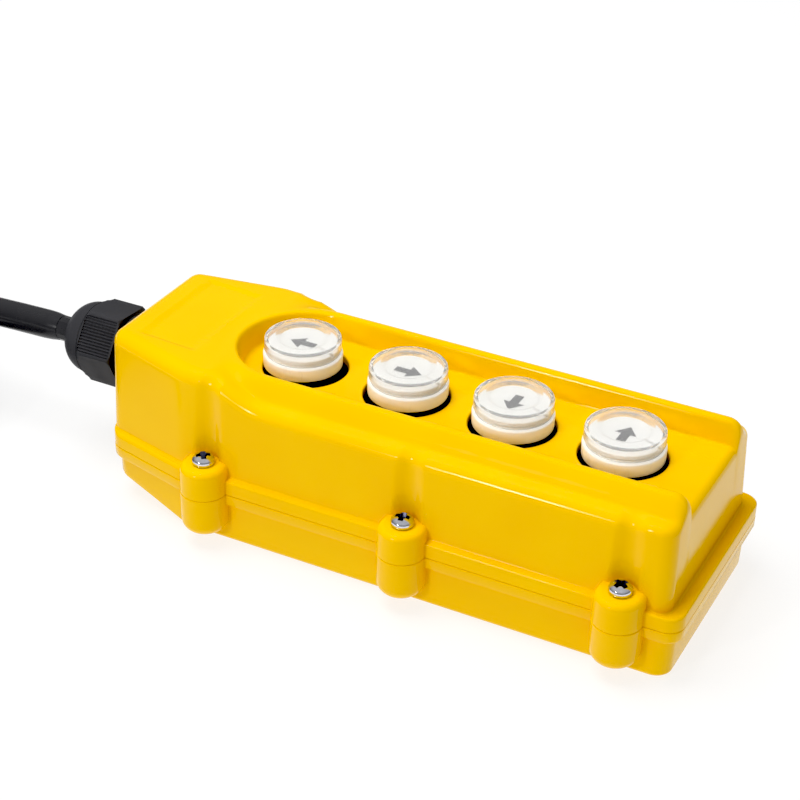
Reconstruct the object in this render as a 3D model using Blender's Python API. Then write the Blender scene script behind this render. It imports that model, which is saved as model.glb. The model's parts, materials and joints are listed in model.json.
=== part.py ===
"""Four-button pendant control station for a hoist, lying on its back, with its cable gland and cord.

Frame: +X runs along the housing away from the cable gland, +Z points out through the button faces, and
z = 0 is the flat back that the station lies on. x = 0 is midway between the far end and the gland end of
the straight part of the housing. Lengths are in metres, written as millimetres times MM.
"""

import math

import bmesh
import bpy
from mathutils import Vector

MM = 0.001
GAP = 0.3 * MM

# Housing outline, seen from above
FAR_END = 110.0 * MM
GLAND_END = -111.4 * MM
BELT_HALF = 41.2 * MM
TAPER_START = -76.5 * MM
TAPER_SLOPE = 0.2537
FAR_CORNER = 6.0 * MM
WALL = 2.6 * MM

# Housing heights
PARTING = 21.2 * MM
BELT_BOTTOM = 16.6 * MM
BELT_TOP = 27.2 * MM
WALL_FOOT = 28.4 * MM
TROUGH_FLOOR = 54.7 * MM
SHOULDER = 56.4 * MM
CREST = 63.2 * MM
HEAD_TOP = 65.2 * MM
HEAD_FALL = 0.04
BACK_RISE = 0.25
BACK_RISE_START = -74.4 * MM

# Lips between the belt and the walls above and below it
FRONT_SIDE_LIP = 2.4 * MM
FRONT_FAR_LIP = 5.0 * MM
REAR_SIDE_LIP = 1.9 * MM
REAR_FAR_LIP = 2.8 * MM
DRAFT = 0.05
TOP_FILLET = 3.2 * MM

# Guard ridge round the buttons, as distances from the row's centre line
FLOOR_EDGE = 22.3 * MM
CREST_INNER = 24.3 * MM
CREST_OUTER = 27.6 * MM
RIDGE_FOOT = 31.8 * MM

# Head's shoulder falls from the head's top to the shoulder between these
RAMP_HIGH = -69.0 * MM
RAMP_LOW = -45.0 * MM

# Cover screws and their bosses
MID_SCREW = 12.0 * MM
SCREW_PITCH = 77.5 * MM
SCREW_Y = 41.6 * MM
SCREW_XS = [MID_SCREW + SCREW_PITCH * step for step in (-1, 0, 1)]
BOSS_RADIUS = 8.5 * MM
BOSS_TOP = 31.7 * MM
BOSS_BOTTOM = 5.2 * MM
GROOVE_RADIUS = 5.6 * MM
SCREW_SHANK = 1.9 * MM
SCREW_HEAD = 4.0 * MM

# Buttons: hole centres, each unit's play in its hole, and how far it stands out. Each slides in by 4.2 mm.
BUTTON_PITCH = 40.1 * MM
FIRST_HOLE = MID_SCREW - 1.5 * BUTTON_PITCH
HOLE_RADIUS = 15.4 * MM
PLAY_ALONG = [-0.8 * MM, 0.5 * MM, 0.4 * MM, 0.5 * MM]
PLAY_OUT = [0.5 * MM, 0.5 * MM, -0.3 * MM, -0.9 * MM]
CUP_RADIUS = 14.15 * MM
LENS_RADIUS = 13.8 * MM
LENS_TOP = 66.0 * MM
LEDGE = 61.2 * MM
CUP_BOTTOM = 56.4 * MM
BLOCK_TOP = 37.0 * MM
COLLAR_BOTTOM = 46.8 * MM
BRIDGE_BOTTOM = 33.2 * MM
PLATE_BOTTOM = 22.0 * MM
PLATE_TOP = 23.6 * MM
POST_Y = 22.5 * MM

# Cable gland, on an axis along X
GLAND_Z = 41.5 * MM
NUT_ACROSS_FLATS = 27.7 * MM
NUT_TURN = math.radians(55)
NUT_SIDES = 24
NUT_BACK = -122.3 * MM
NUT_FRONT = -137.0 * MM
NUT_MOUTH = -153.4 * MM
GLAND_THREAD = 11.9 * MM
GLAND_HOLE = 12.3 * MM

# Cord: a 1.4 m lead, run straight out of the gland and wound in a coil
CORD_RADIUS = 5.5 * MM
CORD_SQUEEZED = 4.8 * MM
COIL_CENTRE = (-245.0 * MM, -45.0 * MM)
COIL_INNER_TURN = 50.5 * MM
COIL_OUTER_TURN = 61.5 * MM
COIL_HEIGHT = 4 * CORD_RADIUS
CORE_COUNT = 5
CORE_RADIUS = 0.95 * MM
ROUTE = [
    (-153.9, 0.0, 41.5),
    (-165.0, 0.0, 41.2),
    (-176.0, 0.0, 40.8),
    (-188.0, 0.5, 40.0),
    (-200.0, 2.0, 38.7),
    (-212.0, 4.3, 36.9),
    (-223.0, 6.7, 34.9),
    (-234.0, 9.2, 32.8),
    (-245.0, 10.5, 31.0),
    (-255.6, 9.7, 29.7),
    (-266.1, 7.2, 28.8),
    (-276.1, 2.8, 28.3),
    (-285.3, -3.3, 28.1),
]
TAIL = [
    (-207.0, -106.6, 5.5),
    (-193.5, -106.3, 5.5),
    (-180.0, -104.1, 5.5),
]

# How many flats stand for a circle
ROUND = 32
BUTTON_SIDES = 28


# ---------------------------------------------------------------- building blocks

def clear_scene():
    for obj in list(bpy.data.objects):
        bpy.data.objects.remove(obj, do_unlink=True)


def material(name, colour, roughness, metallic=0.0, transmission=0.0):
    made = bpy.data.materials.new(name)
    made.use_nodes = True
    shader = made.node_tree.nodes["Principled BSDF"]
    shader.inputs["Base Color"].default_value = (*colour, 1.0)
    shader.inputs["Roughness"].default_value = roughness
    shader.inputs["Metallic"].default_value = metallic
    shader.inputs["Transmission Weight"].default_value = transmission
    return made


def make_object(name, points, faces, finish=None):
    mesh = bpy.data.meshes.new(name)
    mesh.from_pydata([tuple(point) for point in points], [], faces)
    edit = bmesh.new()
    edit.from_mesh(mesh)
    bmesh.ops.remove_doubles(edit, verts=edit.verts, dist=0.002 * MM)
    bmesh.ops.recalc_face_normals(edit, faces=edit.faces)
    edit.to_mesh(mesh)
    edit.free()
    mesh.shade_smooth()
    mesh.set_sharp_from_angle(angle=math.radians(35))
    obj = bpy.data.objects.new(name, mesh)
    bpy.context.scene.collection.objects.link(obj)
    if finish:
        mesh.materials.append(finish)
    return obj


def helper(obj):
    """Marks an object as a cutter, which isn't part of the station."""
    obj.hide_render = True
    obj.display_type = "WIRE"
    return obj


def combine(target, other, operation):
    step = target.modifiers.new(f"{operation.lower()} {other.name}", "BOOLEAN")
    step.operation = operation
    # The exact solver leaves open edges where the front cover's bosses end in its own bottom plane.
    step.solver = "MANIFOLD" if target.name == "front_cover" else "EXACT"
    step.object = helper(other)


def cut(target, cutter):
    combine(target, cutter, "DIFFERENCE")


def join(target, other):
    combine(target, other, "UNION")


def loft(name, rings, finish=None, closed=False):
    """A solid through rings of equal point counts, capped at both ends, or joined end to end if closed."""
    count = len(rings[0])
    points = [point for ring in rings for point in ring]
    faces = []
    for level in range(len(rings) - (0 if closed else 1)):
        low = level * count
        high = ((level + 1) % len(rings)) * count
        for i in range(count):
            j = (i + 1) % count
            faces.append((low + i, low + j, high + j, high + i))
    if not closed:
        faces.append(tuple(range(count)))
        faces.append(tuple(range(len(points) - count, len(points))))
    return make_object(name, points, faces, finish)


def circle(radius, centre, axis="Z", count=ROUND):
    ring = []
    for i in range(count):
        turn = 2 * math.pi * i / count
        a, b = radius * math.cos(turn), radius * math.sin(turn)
        offset = (a, b, 0.0) if axis == "Z" else (0.0, a, b)
        ring.append(tuple(c + o for c, o in zip(centre, offset)))
    return ring


def turned(name, profile, centre, finish=None, axis="Z", count=ROUND, hollow=False, parent=None):
    """A turned solid, placed at centre. profile lists (radius, distance along the axis from there).

    A hollow one is a closed loop that doesn't touch the axis.
    """
    rings = []
    for radius, along in profile:
        place = (0.0, 0.0, along) if axis == "Z" else (along, 0.0, 0.0)
        rings.append(circle(max(radius, 0.02 * MM), place, axis, count))
    obj = loft(name, rings, finish, closed=hollow)
    obj.location = centre
    obj.parent = parent
    return obj


def block(name, low, high, finish=None, parent=None):
    """A box between two corners, with its origin at its middle."""
    middle = [(a + b) / 2 for a, b in zip(low, high)]
    x, y, z = [(b - a) / 2 for a, b in zip(low, high)]
    rings = [[(-x, -y, level), (x, -y, level), (x, y, level), (-x, y, level)] for level in (-z, z)]
    obj = loft(name, rings, finish)
    obj.location = middle
    obj.parent = parent
    return obj


def smooth_path(points, step):
    """Points every step along a smooth curve through the given points (Catmull-Rom)."""
    knots = [Vector(p) for p in points]
    knots = [2 * knots[0] - knots[1], *knots, 2 * knots[-1] - knots[-2]]
    fine = []
    for a, b, c, d in zip(knots, knots[1:], knots[2:], knots[3:]):
        for i in range(16):
            t = i / 16
            bend = (2 * a - 5 * b + 4 * c - d) * t**2 + (3 * b - 3 * c + d - a) * t**3
            fine.append(0.5 * (2 * b + (c - a) * t + bend))
    fine.append(knots[-2])
    spaced, travelled = [fine[0]], 0.0
    for last, point in zip(fine, fine[1:]):
        travelled += (point - last).length
        if travelled >= step:
            spaced.append(point)
            travelled = 0.0
    if (spaced[-1] - fine[-1]).length > 0.3 * step:
        spaced.append(fine[-1])
    else:
        spaced[-1] = fine[-1]
    return spaced


def tube(name, points, radius, finish, sides=3):
    curve = bpy.data.curves.new(name, "CURVE")
    curve.dimensions = "3D"
    curve.bevel_depth = radius
    curve.bevel_resolution = sides
    curve.use_fill_caps = True
    spline = curve.splines.new("POLY")
    spline.points.add(len(points) - 1)
    for slot, point in zip(spline.points, points):
        slot.co = (*point, 1.0)
    curve.materials.append(finish)
    obj = bpy.data.objects.new(name, curve)
    bpy.context.scene.collection.objects.link(obj)
    return obj


# ---------------------------------------------------------------- housing outlines

class Outline:
    """The housing's outline at one height: a long box, tapered towards the gland, with round corners."""

    def __init__(self, half, far, gland, corner, groove=0.0):
        self.half, self.far, self.gland, self.corner, self.groove = half, far, gland, corner, groove

    def inset(self, amount):
        corner = max(self.corner - amount, 1.0 * MM)
        return Outline(self.half - amount, self.far - amount, self.gland + amount, corner)

    def depth_inside(self, x, y):
        """How far a point is inside the outline; negative outside."""
        taper = TAPER_SLOPE * max(0.0, TAPER_START - x)
        side = (self.half - taper - abs(y)) / (math.hypot(1.0, TAPER_SLOPE) if taper else 1.0)
        end = min(self.far - x, x - self.gland)
        inside = min(side, end)
        if max(side, end) < self.corner:
            inside = self.corner - math.hypot(self.corner - side, self.corner - end)
        if self.groove:
            for screw in SCREW_XS:
                inside = min(inside, math.hypot(x - screw, abs(y) - SCREW_Y) - self.groove)
        return inside

    def edge_from(self, x, y, along):
        """The point where a ray from (x, y) leaves the outline."""
        low, high = 0.0, 90 * MM
        for _ in range(40):
            middle = (low + high) / 2
            if self.depth_inside(x + along[0] * middle, y + along[1] * middle) > 0:
                low = middle
            else:
                high = middle
        return (x + along[0] * low, y + along[1] * low)


BELT = Outline(BELT_HALF, FAR_END, GLAND_END, FAR_CORNER)
FRONT_FOOT = Outline(
    BELT_HALF - FRONT_SIDE_LIP, FAR_END - FRONT_FAR_LIP, GLAND_END + 0.2 * MM, 5.0 * MM, GROOVE_RADIUS
)
RIM_HALF = FRONT_FOOT.half - DRAFT * (SHOULDER - WALL_FOOT)
FRONT_RIM = Outline(RIM_HALF, FRONT_FOOT.far - 0.7 * MM, FRONT_FOOT.gland, 5.0 * MM, GROOVE_RADIUS)
REAR_WALL = Outline(BELT_HALF - REAR_SIDE_LIP, FAR_END - REAR_FAR_LIP, GLAND_END + 1.1 * MM, 5.5 * MM)

INNER_HALF = BELT_HALF - 5.4 * MM

# Rows past this place spread towards each level's own far end
STRAIGHT_END = 96.0 * MM
RAYS = [0, 9, 16, 19, 21.5, 25.7, 29, 32, 41, 52, 60, 64, 66.5, 69, 79, 90]


def straight_rows():
    """Distances along X of the rows across the trough, from the far end towards its round end."""
    rows = [FRONT_RIM.far - TOP_FILLET * (1 - math.sin(math.radians(a))) for a in (90, 55, 25, 0)]
    rows += [STRAIGHT_END, 50 * MM, -20 * MM, -36 * MM]
    for screw in SCREW_XS[1:]:
        rows += [screw + offset * MM for offset in (-5.4, -4.0, -2.2, 2.2, 4.0, 5.4)]
    return sorted(set(rows), reverse=True)


def row_starts():
    """Each row's start on the trough's centre line and its direction, round the trough as a U."""
    start = FIRST_HOLE
    near = [((x, 0.0), (0.0, -1.0)) for x in straight_rows()]
    turn = [math.radians(a) for a in RAYS]
    near += [((start, 0.0), (-math.sin(a), -math.cos(a))) for a in turn]
    far = [((x, 0.0), (dx, -dy)) for (x, _), (dx, dy) in reversed(near[:-1])]
    return near + far


def stretched(x, outline):
    """A row's x in another outline: only the stretch by the far end moves."""
    if x < STRAIGHT_END:
        return x
    share = (x - STRAIGHT_END) / (FRONT_RIM.far - STRAIGHT_END)
    return min(STRAIGHT_END + share * (outline.far - STRAIGHT_END), outline.far - 0.0005 * MM)


# ---------------------------------------------------------------- top surface of the front cover

def ease(share):
    share = min(max(share, 0.0), 1.0)
    return share * share * (3 - 2 * share)


def trough_distance(x, y):
    return math.hypot(min(x - FIRST_HOLE, 0.0), y)


def top_height(x, y):
    """The cover's height before its outer edge is rounded."""
    distance = trough_distance(x, y)
    head = HEAD_TOP - HEAD_FALL * (x - GLAND_END)
    outer = max(head, CREST) + (SHOULDER - max(head, CREST)) * ease((x - RAMP_HIGH) / (RAMP_LOW - RAMP_HIGH))
    if distance <= CREST_INNER:
        climb = ease((distance - FLOOR_EDGE) / (CREST_INNER - FLOOR_EDGE))
        return TROUGH_FLOOR + (CREST - TROUGH_FLOOR) * climb
    return CREST + (outer - CREST) * ease((distance - CREST_OUTER) / (RIDGE_FOOT - CREST_OUTER))


def rounded_height(x, y):
    inside = min(max(FRONT_RIM.depth_inside(x, y), 0.0), TOP_FILLET)
    drop = TOP_FILLET - math.sqrt(max(TOP_FILLET**2 - (TOP_FILLET - inside) ** 2, 0.0))
    return top_height(x, y) - drop


def row_points(start, along):
    """One row's points in plan, from the trough's centre line out to the wall."""
    edge = FRONT_RIM.edge_from(stretched(start[0], FRONT_RIM), start[1], along)
    reach = math.hypot(edge[0] - start[0], edge[1] - start[1])
    limit = reach - 0.5 * MM
    steps = [0.0, FLOOR_EDGE, CREST_INNER, CREST_OUTER, 29.5 * MM, RIDGE_FOOT]
    lip = max(reach - TOP_FILLET, RIDGE_FOOT)
    steps += [RIDGE_FOOT + (lip - RIDGE_FOOT) * share for share in (0.5, 1.0)]
    steps += [reach - (reach - lip) * (1 - math.sin(math.radians(a))) for a in (35, 65, 90)]
    steps = [min(step, limit) if i < len(steps) - 1 else step for i, step in enumerate(steps)]
    x = stretched(start[0], FRONT_RIM)
    return [(x + along[0] * step, start[1] + along[1] * step) for step in steps]


def front_skin():
    """The front cover's outside as a closed solid, before it is hollowed."""
    rows = [row_points(start, along) for start, along in row_starts()]
    width = len(rows[0])
    points = [(x, y, rounded_height(x, y)) for row in rows for x, y in row]
    faces = []
    for i in range(len(rows) - 1):
        for j in range(width - 1):
            a = i * width + j
            faces.append((a, a + 1, a + width + 1, a + width))
    first_row = list(range(width))
    row_ends = [r * width + width - 1 for r in range(len(rows))]
    last_row = [(len(rows) - 1) * width + j for j in range(width)]
    rim = row_ends + last_row[-2::-1] + first_row[1:-1]
    across = [points[i][1] / points[row_ends[-1]][1] for i in rim[len(rows):]]
    levels = [rim]
    for outline, height in front_levels():
        base = len(points)
        points += [(x, y, height) for x, y in rim_at(outline, across)]
        levels.append(list(range(base, base + len(rim))))
    for upper, lower in zip(levels, levels[1:]):
        for i in range(len(rim)):
            j = (i + 1) % len(rim)
            faces.append((upper[i], upper[j], lower[j], lower[i]))
    faces.append(tuple(levels[-1]))
    return points, faces


def rim_at(outline, across):
    """The rim's points in the outline of a lower level: each row's end, then the far end's points.

    across lists the far end's points as shares of the outline's half width there.
    """
    ends = [outline.edge_from(stretched(start[0], outline), start[1], along) for start, along in row_starts()]
    wide = ends[-1][1]
    return ends + [(outline.far, share * wide) for share in across]


def front_levels():
    """Outlines and heights below the top, down to the joint between the covers."""
    wall_mid = Outline(
        FRONT_FOOT.half - DRAFT * 21 * MM, FRONT_FOOT.far - 0.5 * MM, FRONT_FOOT.gland, 5.0 * MM, GROOVE_RADIUS
    )
    plain_foot = Outline(FRONT_FOOT.half, FRONT_FOOT.far, FRONT_FOOT.gland, FRONT_FOOT.corner)
    return [
        (wall_mid, 49.4 * MM),
        (FRONT_FOOT, BOSS_TOP - 0.4 * MM),
        (plain_foot, BOSS_TOP - 0.6 * MM),
        (plain_foot, WALL_FOOT),
        (BELT.inset(1.6 * MM), BELT_TOP),
        (BELT.inset(0.4 * MM), BELT_TOP - 0.8 * MM),
        (BELT, BELT_TOP - 2.2 * MM),
        (BELT, PARTING + GAP / 2),
    ]


def boss(name, screw, side, rings):
    """One screw boss: a half-round column with straight flanks. rings lists (inset, height)."""
    made = []
    for inset, height in rings:
        radius = BOSS_RADIUS - inset
        ring = []
        for i in range(17):
            turn = math.pi * i / 16
            ring.append((screw + radius * math.cos(turn), side * (SCREW_Y + radius * math.sin(turn)), height))
        ring.append((screw - radius, side * (SCREW_Y - 6 * MM), height))
        ring.append((screw + radius, side * (SCREW_Y - 6 * MM), height))
        made.append(ring)
    return loft(name, made)


def each_screw():
    for number, screw in enumerate(SCREW_XS * 2):
        yield number + 1, screw, -1.0 if number < 3 else 1.0


def simple_ring(outline, height, count=56):
    """An outline as evenly turned rays from the housing's middle, for plain inner shapes."""
    ring = []
    for i in range(count):
        turn = 2 * math.pi * (i + 0.5) / count
        # Rays from a stretched middle line reach the far ends without slanting.
        anchor = 62 * MM * math.cos(turn)
        ring.append((*outline.edge_from(anchor, 0.0, (math.cos(turn), math.sin(turn))), height))
    return ring


def cavity(outline, low, high, head_high):
    """The hollow inside the front cover: low over the trough, higher in the head."""
    lower = loft("front cavity body", [simple_ring(outline, low), simple_ring(outline, high)])
    head_far, half = -80 * MM, 24 * MM
    upper = block("front cavity head", (outline.gland, -half, high - 2 * MM), (head_far, half, head_high))
    return lower, upper


def build_front_cover(finish):
    points, faces = front_skin()
    cover = make_object("front_cover", points, faces, finish)
    rings = [
        (0.0, PARTING + GAP / 2), (0.0, BOSS_TOP - 1.8 * MM), (0.6 * MM, BOSS_TOP - 0.5 * MM),
        (1.9 * MM, BOSS_TOP),
    ]
    for number, screw, side in each_screw():
        join(cover, boss(f"front boss {number}", screw, side, rings))
    groove = GROOVE_RADIUS + 2.2 * MM
    inner = Outline(INNER_HALF, FRONT_FOOT.far - WALL, FRONT_FOOT.gland + WALL, 4.0 * MM, groove)
    for piece in cavity(inner, PARTING - 2 * MM, TROUGH_FLOOR - WALL, HEAD_TOP - 1.5 * WALL):
        cut(cover, piece)
    for number in range(4):
        centre = (FIRST_HOLE + number * BUTTON_PITCH, 0.0, 0.0)
        profile = [(HOLE_RADIUS, 48 * MM), (HOLE_RADIUS, 60 * MM)]
        cut(cover, turned(f"button hole {number + 1}", profile, centre))
    hole = [(GLAND_HOLE, -118 * MM), (GLAND_HOLE, -100 * MM)]
    cut(cover, turned("gland hole", hole, (0.0, 0.0, GLAND_Z), axis="X"))
    for number, screw, side in each_screw():
        profile = [(SCREW_SHANK + 1.3 * GAP, 10 * MM), (SCREW_SHANK + 1.3 * GAP, 40 * MM)]
        cut(cover, turned(f"front screw hole {number}", profile, (screw, side * SCREW_Y, 0.0), count=20))
    for number, (x, y) in enumerate(post_places()):
        profile = [(3.6 * MM, PLATE_TOP + GAP), (3.6 * MM, TROUGH_FLOOR - 1.0 * MM)]
        join(cover, turned(f"post {number + 1}", profile, (x, y, 0.0), count=20))
    for number, (x, y) in enumerate(post_places()):
        profile = [(1.6 * MM, PLATE_TOP - 1 * MM), (1.6 * MM, PLATE_TOP + 10 * MM)]
        cut(cover, turned(f"post hole {number + 1}", profile, (x, y, 0.0), count=16))
    return cover


def post_places():
    """The four posts that the mounting plate is screwed to, between the buttons of each pair."""
    middles = [FIRST_HOLE + 0.5 * BUTTON_PITCH, FIRST_HOLE + 2.5 * BUTTON_PITCH]
    return [(x, y) for x in middles for y in (-POST_Y, POST_Y)]


def build_rear_cover(finish):
    top = PARTING - GAP / 2
    foot = Outline(REAR_WALL.half - 0.4 * MM, REAR_WALL.far - 0.3 * MM, REAR_WALL.gland, 5.5 * MM)
    levels = [
        (BELT, top),
        (BELT, BELT_BOTTOM + 0.6 * MM),
        (BELT.inset(0.6 * MM), BELT_BOTTOM),
        (REAR_WALL, BELT_BOTTOM),
        (foot, 2.0 * MM),
        (foot.inset(0.6 * MM), 0.6 * MM),
        (foot.inset(2.0 * MM), 0.0),
    ]
    cover = loft("rear_cover", [simple_ring(outline, height, 72) for outline, height in levels], finish)
    rings = [(0.0, top), (0.0, 9.6 * MM), (1.2 * MM, 6.9 * MM), (2.9 * MM, 5.5 * MM), (4.6 * MM, BOSS_BOTTOM)]
    for number, screw, side in each_screw():
        join(cover, boss(f"rear boss {number}", screw, side, rings))
    inner = Outline(INNER_HALF, REAR_WALL.far - WALL, REAR_WALL.gland + WALL, 4.0 * MM)
    cut(cover, loft("rear cavity", [simple_ring(inner, 2.6 * MM), simple_ring(inner, 26 * MM)]))
    rise = BACK_RISE * (BACK_RISE_START + 130 * MM)
    outside = wedge("back slope", BACK_RISE_START, -130 * MM, -10 * MM, rise)
    floor_wedge = wedge("inner slope", BACK_RISE_START, -112 * MM, 0.1 * MM, rise + 4 * MM)
    keep_floor(cover, floor_wedge, inner)
    cut(cover, outside)
    for number, screw, side in each_screw():
        profile = [(SCREW_SHANK + GAP, 8.2 * MM), (SCREW_SHANK + GAP, 30 * MM)]
        cut(cover, turned(f"rear screw hole {number}", profile, (screw, side * SCREW_Y, 0.0), count=20))
    groove = [simple_ring(GASKET_LINE.inset(-0.3 * MM), z, 72) for z in (19.4 * MM, 26 * MM)]
    core = [simple_ring(GASKET_LINE.inset(2.3 * MM), z, 72) for z in (19.4 * MM, 26 * MM)]
    cut(cover, loft("gasket groove", groove[:1] + core[:1] + core[1:] + groove[1:], closed=True))
    return cover


def wedge(name, x_start, x_end, low, rise):
    """A solid under a plane that climbs from z = 0 at x_start to the given rise at x_end."""
    side = 60 * MM
    ring = [(x_start, 0.0), (x_end, rise), (x_end, min(low, -1 * MM)), (x_start, min(low, -1 * MM))]
    return loft(name, [[(x, y, z) for x, z in ring] for y in (-side, side)])


def keep_floor(cover, ramp, inner):
    """Puts a sloped floor back inside the rear cover, over the slope of its back."""
    join(cover, ramp)
    shell = [simple_ring(inner.inset(-WALL), z) for z in (-6 * MM, PARTING + 20 * MM)]
    combine(ramp, loft("rear inner bounds", shell), "INTERSECT")


GASKET_LINE = Outline(BELT_HALF - 2.5 * MM, FAR_END - 3.4 * MM, GLAND_END + 3.0 * MM, 4.4 * MM)


def build_gasket(finish):
    outer, inner = GASKET_LINE, GASKET_LINE.inset(2.0 * MM)
    low, high = 19.7 * MM, PARTING
    rings = [simple_ring(o, z, 72) for o, z in ((outer, low), (inner, low), (inner, high), (outer, high))]
    return loft("housing_gasket", rings, finish, closed=True)


def build_cover_screws(finish):
    """Pan-head screws, from the front cover's bosses into the rear cover's."""
    seat = BOSS_TOP + GAP
    profile = [
        (0.0, 9.6 * MM), (SCREW_SHANK, 9.6 * MM), (SCREW_SHANK, seat), (SCREW_HEAD, seat),
        (SCREW_HEAD, seat + 0.8 * MM), (2.9 * MM, seat + 2.1 * MM), (0.0, seat + 2.5 * MM),
    ]
    for number, screw, side in each_screw():
        place = (screw, side * SCREW_Y, 0.0)
        turned(f"cover_screw_{number}", profile, place, finish, count=16)


# ---------------------------------------------------------------- buttons

def button_centre(number):
    return (FIRST_HOLE + number * BUTTON_PITCH + PLAY_ALONG[number], 0.0, PLAY_OUT[number])


def build_button(number, finishes):
    """One push button, from the lens down to the moving contact, on an empty on its joint's axis.

    Heights are those of a unit with no play; the empty adds this unit's own.
    """
    label = number + 1
    centre = button_centre(number)
    unit = bpy.data.objects.new(f"button_unit_{label}", None)
    bpy.context.scene.collection.objects.link(unit)
    unit.location = centre
    here = (0.0, 0.0, 0.0)
    stem = 5.0 * MM
    cup = [
        (0.0, 48.8 * MM), (stem, 48.8 * MM), (stem, 57.6 * MM), (12.2 * MM, CUP_BOTTOM),
        (CUP_RADIUS, CUP_BOTTOM), (CUP_RADIUS, LEDGE), (12.4 * MM, LEDGE), (12.4 * MM, 62.6 * MM), (0.0, 62.6 * MM),
    ]
    lens = [
        (0.0, LEDGE + GAP), (LENS_RADIUS, LEDGE + GAP), (LENS_RADIUS, LENS_TOP - 0.7 * MM),
        (LENS_RADIUS - 0.8 * MM, LENS_TOP), (9.6 * MM, LENS_TOP), (8.4 * MM, LENS_TOP - 0.7 * MM),
        (0.0, LENS_TOP - 0.7 * MM),
    ]
    insert = [(0.0, 62.9 * MM), (12.3 * MM, 62.9 * MM), (12.3 * MM, 64.4 * MM), (0.0, 64.4 * MM)]
    collar_top = COLLAR_BOTTOM + 1.6 * MM
    plunger = [
        (0.0, 34.3 * MM), (3.1 * MM, 34.3 * MM), (3.1 * MM, COLLAR_BOTTOM), (7.6 * MM, COLLAR_BOTTOM),
        (7.6 * MM, collar_top), (0.0, collar_top),
    ]
    turned(f"button_cup_{label}", cup, here, finishes["cream"], count=BUTTON_SIDES, parent=unit)
    build_lens(f"button_lens_{label}", lens, finishes["clear"], unit)
    turned(f"button_insert_{label}", insert, here, finishes["white"], count=20, parent=unit)
    turned(f"button_plunger_{label}", plunger, here, finishes["black"], count=16, parent=unit)
    low, high = BRIDGE_BOTTOM, BRIDGE_BOTTOM + 0.8 * MM
    name = f"contact_bridge_{label}"
    block(name, (-2.4 * MM, -8.5 * MM, low), (2.4 * MM, 8.5 * MM, high), finishes["brass"], parent=unit)
    return centre


def build_lens(name, profile, finish, unit):
    """The clear cap, turned as a solid and hollowed from below."""
    here = (0.0, 0.0, 0.0)
    cap = turned(name, profile, here, finish, count=BUTTON_SIDES, parent=unit)
    hollow = LENS_RADIUS - 1.1 * MM
    under = [(hollow, LEDGE - 1 * MM), (hollow, LENS_TOP - 1.3 * MM)]
    cut(cap, turned(f"{name} hollow", under, here, count=BUTTON_SIDES, parent=unit))


def build_switch(number, centre, finishes):
    """What stays still under a button: the boot, the contact block and the spring's seat."""
    label = number + 1
    place = (centre[0], 0.0, 0.0)
    boot = [
        (5.6 * MM, 49.3 * MM), (18.2 * MM, 49.3 * MM), (18.2 * MM, 51.8 * MM), (16.0 * MM, 51.8 * MM),
        (16.0 * MM, 50.4 * MM), (5.6 * MM, 50.4 * MM),
    ]
    turned(f"button_boot_{label}", boot, place, finishes["rubber"], count=24, hollow=True)
    build_spring(f"return_spring_{label}", place, COLLAR_BOTTOM + centre[2] - GAP, finishes["steel"])
    x = centre[0]
    low = (x - 15 * MM, -17 * MM, PLATE_TOP + GAP)
    body = block(f"contact_block_{label}", low, (x + 15 * MM, 17 * MM, BLOCK_TOP), finishes["black"])
    low = (x - 3.6 * MM, -9.5 * MM, 27 * MM)
    cut(body, block(f"contact slot {label}", low, (x + 3.6 * MM, 9.5 * MM, BLOCK_TOP + 5 * MM)))


def build_spring(name, centre, top, finish):
    """A coil spring round the plunger's rod, between the contact block and the collar."""
    wire, radius, turns, per_turn = 0.4 * MM, 6.6 * MM, 3.5, 9
    low = BLOCK_TOP + GAP + wire
    high = top - wire
    count = int(turns * per_turn)
    points = []
    for i in range(count + 1):
        share = i / count
        turn = 2 * math.pi * turns * share
        x, y = centre[0] + radius * math.cos(turn), centre[1] + radius * math.sin(turn)
        points.append((x, y, low + (high - low) * share))
    tube(name, points, wire, finish, sides=0)


def build_mounting_plate(finishes):
    low, high = (-70 * MM, -26.5 * MM, PLATE_BOTTOM), (94 * MM, 26.5 * MM, PLATE_TOP)
    plate = block("mounting_plate", low, high, finishes["steel"])
    for number, (x, y) in enumerate(post_places()):
        hole = [(1.9 * MM, 10 * MM), (1.9 * MM, 30 * MM)]
        cut(plate, turned(f"plate hole {number + 1}", hole, (x, y, 0.0), count=16))
        profile = [
            (0.0, 19.6 * MM), (2.2 * MM, 19.9 * MM), (3.0 * MM, 20.8 * MM), (3.0 * MM, PLATE_BOTTOM - GAP),
            (1.3 * MM, PLATE_BOTTOM - GAP), (1.3 * MM, 31 * MM), (0.0, 31.6 * MM),
        ]
        turned(f"plate_screw_{number + 1}", profile, (x, y, 0.0), finishes["zinc"], count=16)


# ---------------------------------------------------------------- cable gland and cord

def nut_ring(x, radius, across_flats=None):
    """A ring of the gland nut at x: round, or a hexagon whose corners are cut back to the radius."""
    ring = []
    for i in range(NUT_SIDES):
        turn = NUT_TURN + 2 * math.pi * i / NUT_SIDES
        reach = radius
        if across_flats:
            off = (2 * math.pi * i / NUT_SIDES) % (math.pi / 3) - math.pi / 6
            reach = min(across_flats / 2 / math.cos(off), radius)
        ring.append((x, reach * math.cos(turn), GLAND_Z + reach * math.sin(turn)))
    return ring


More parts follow.
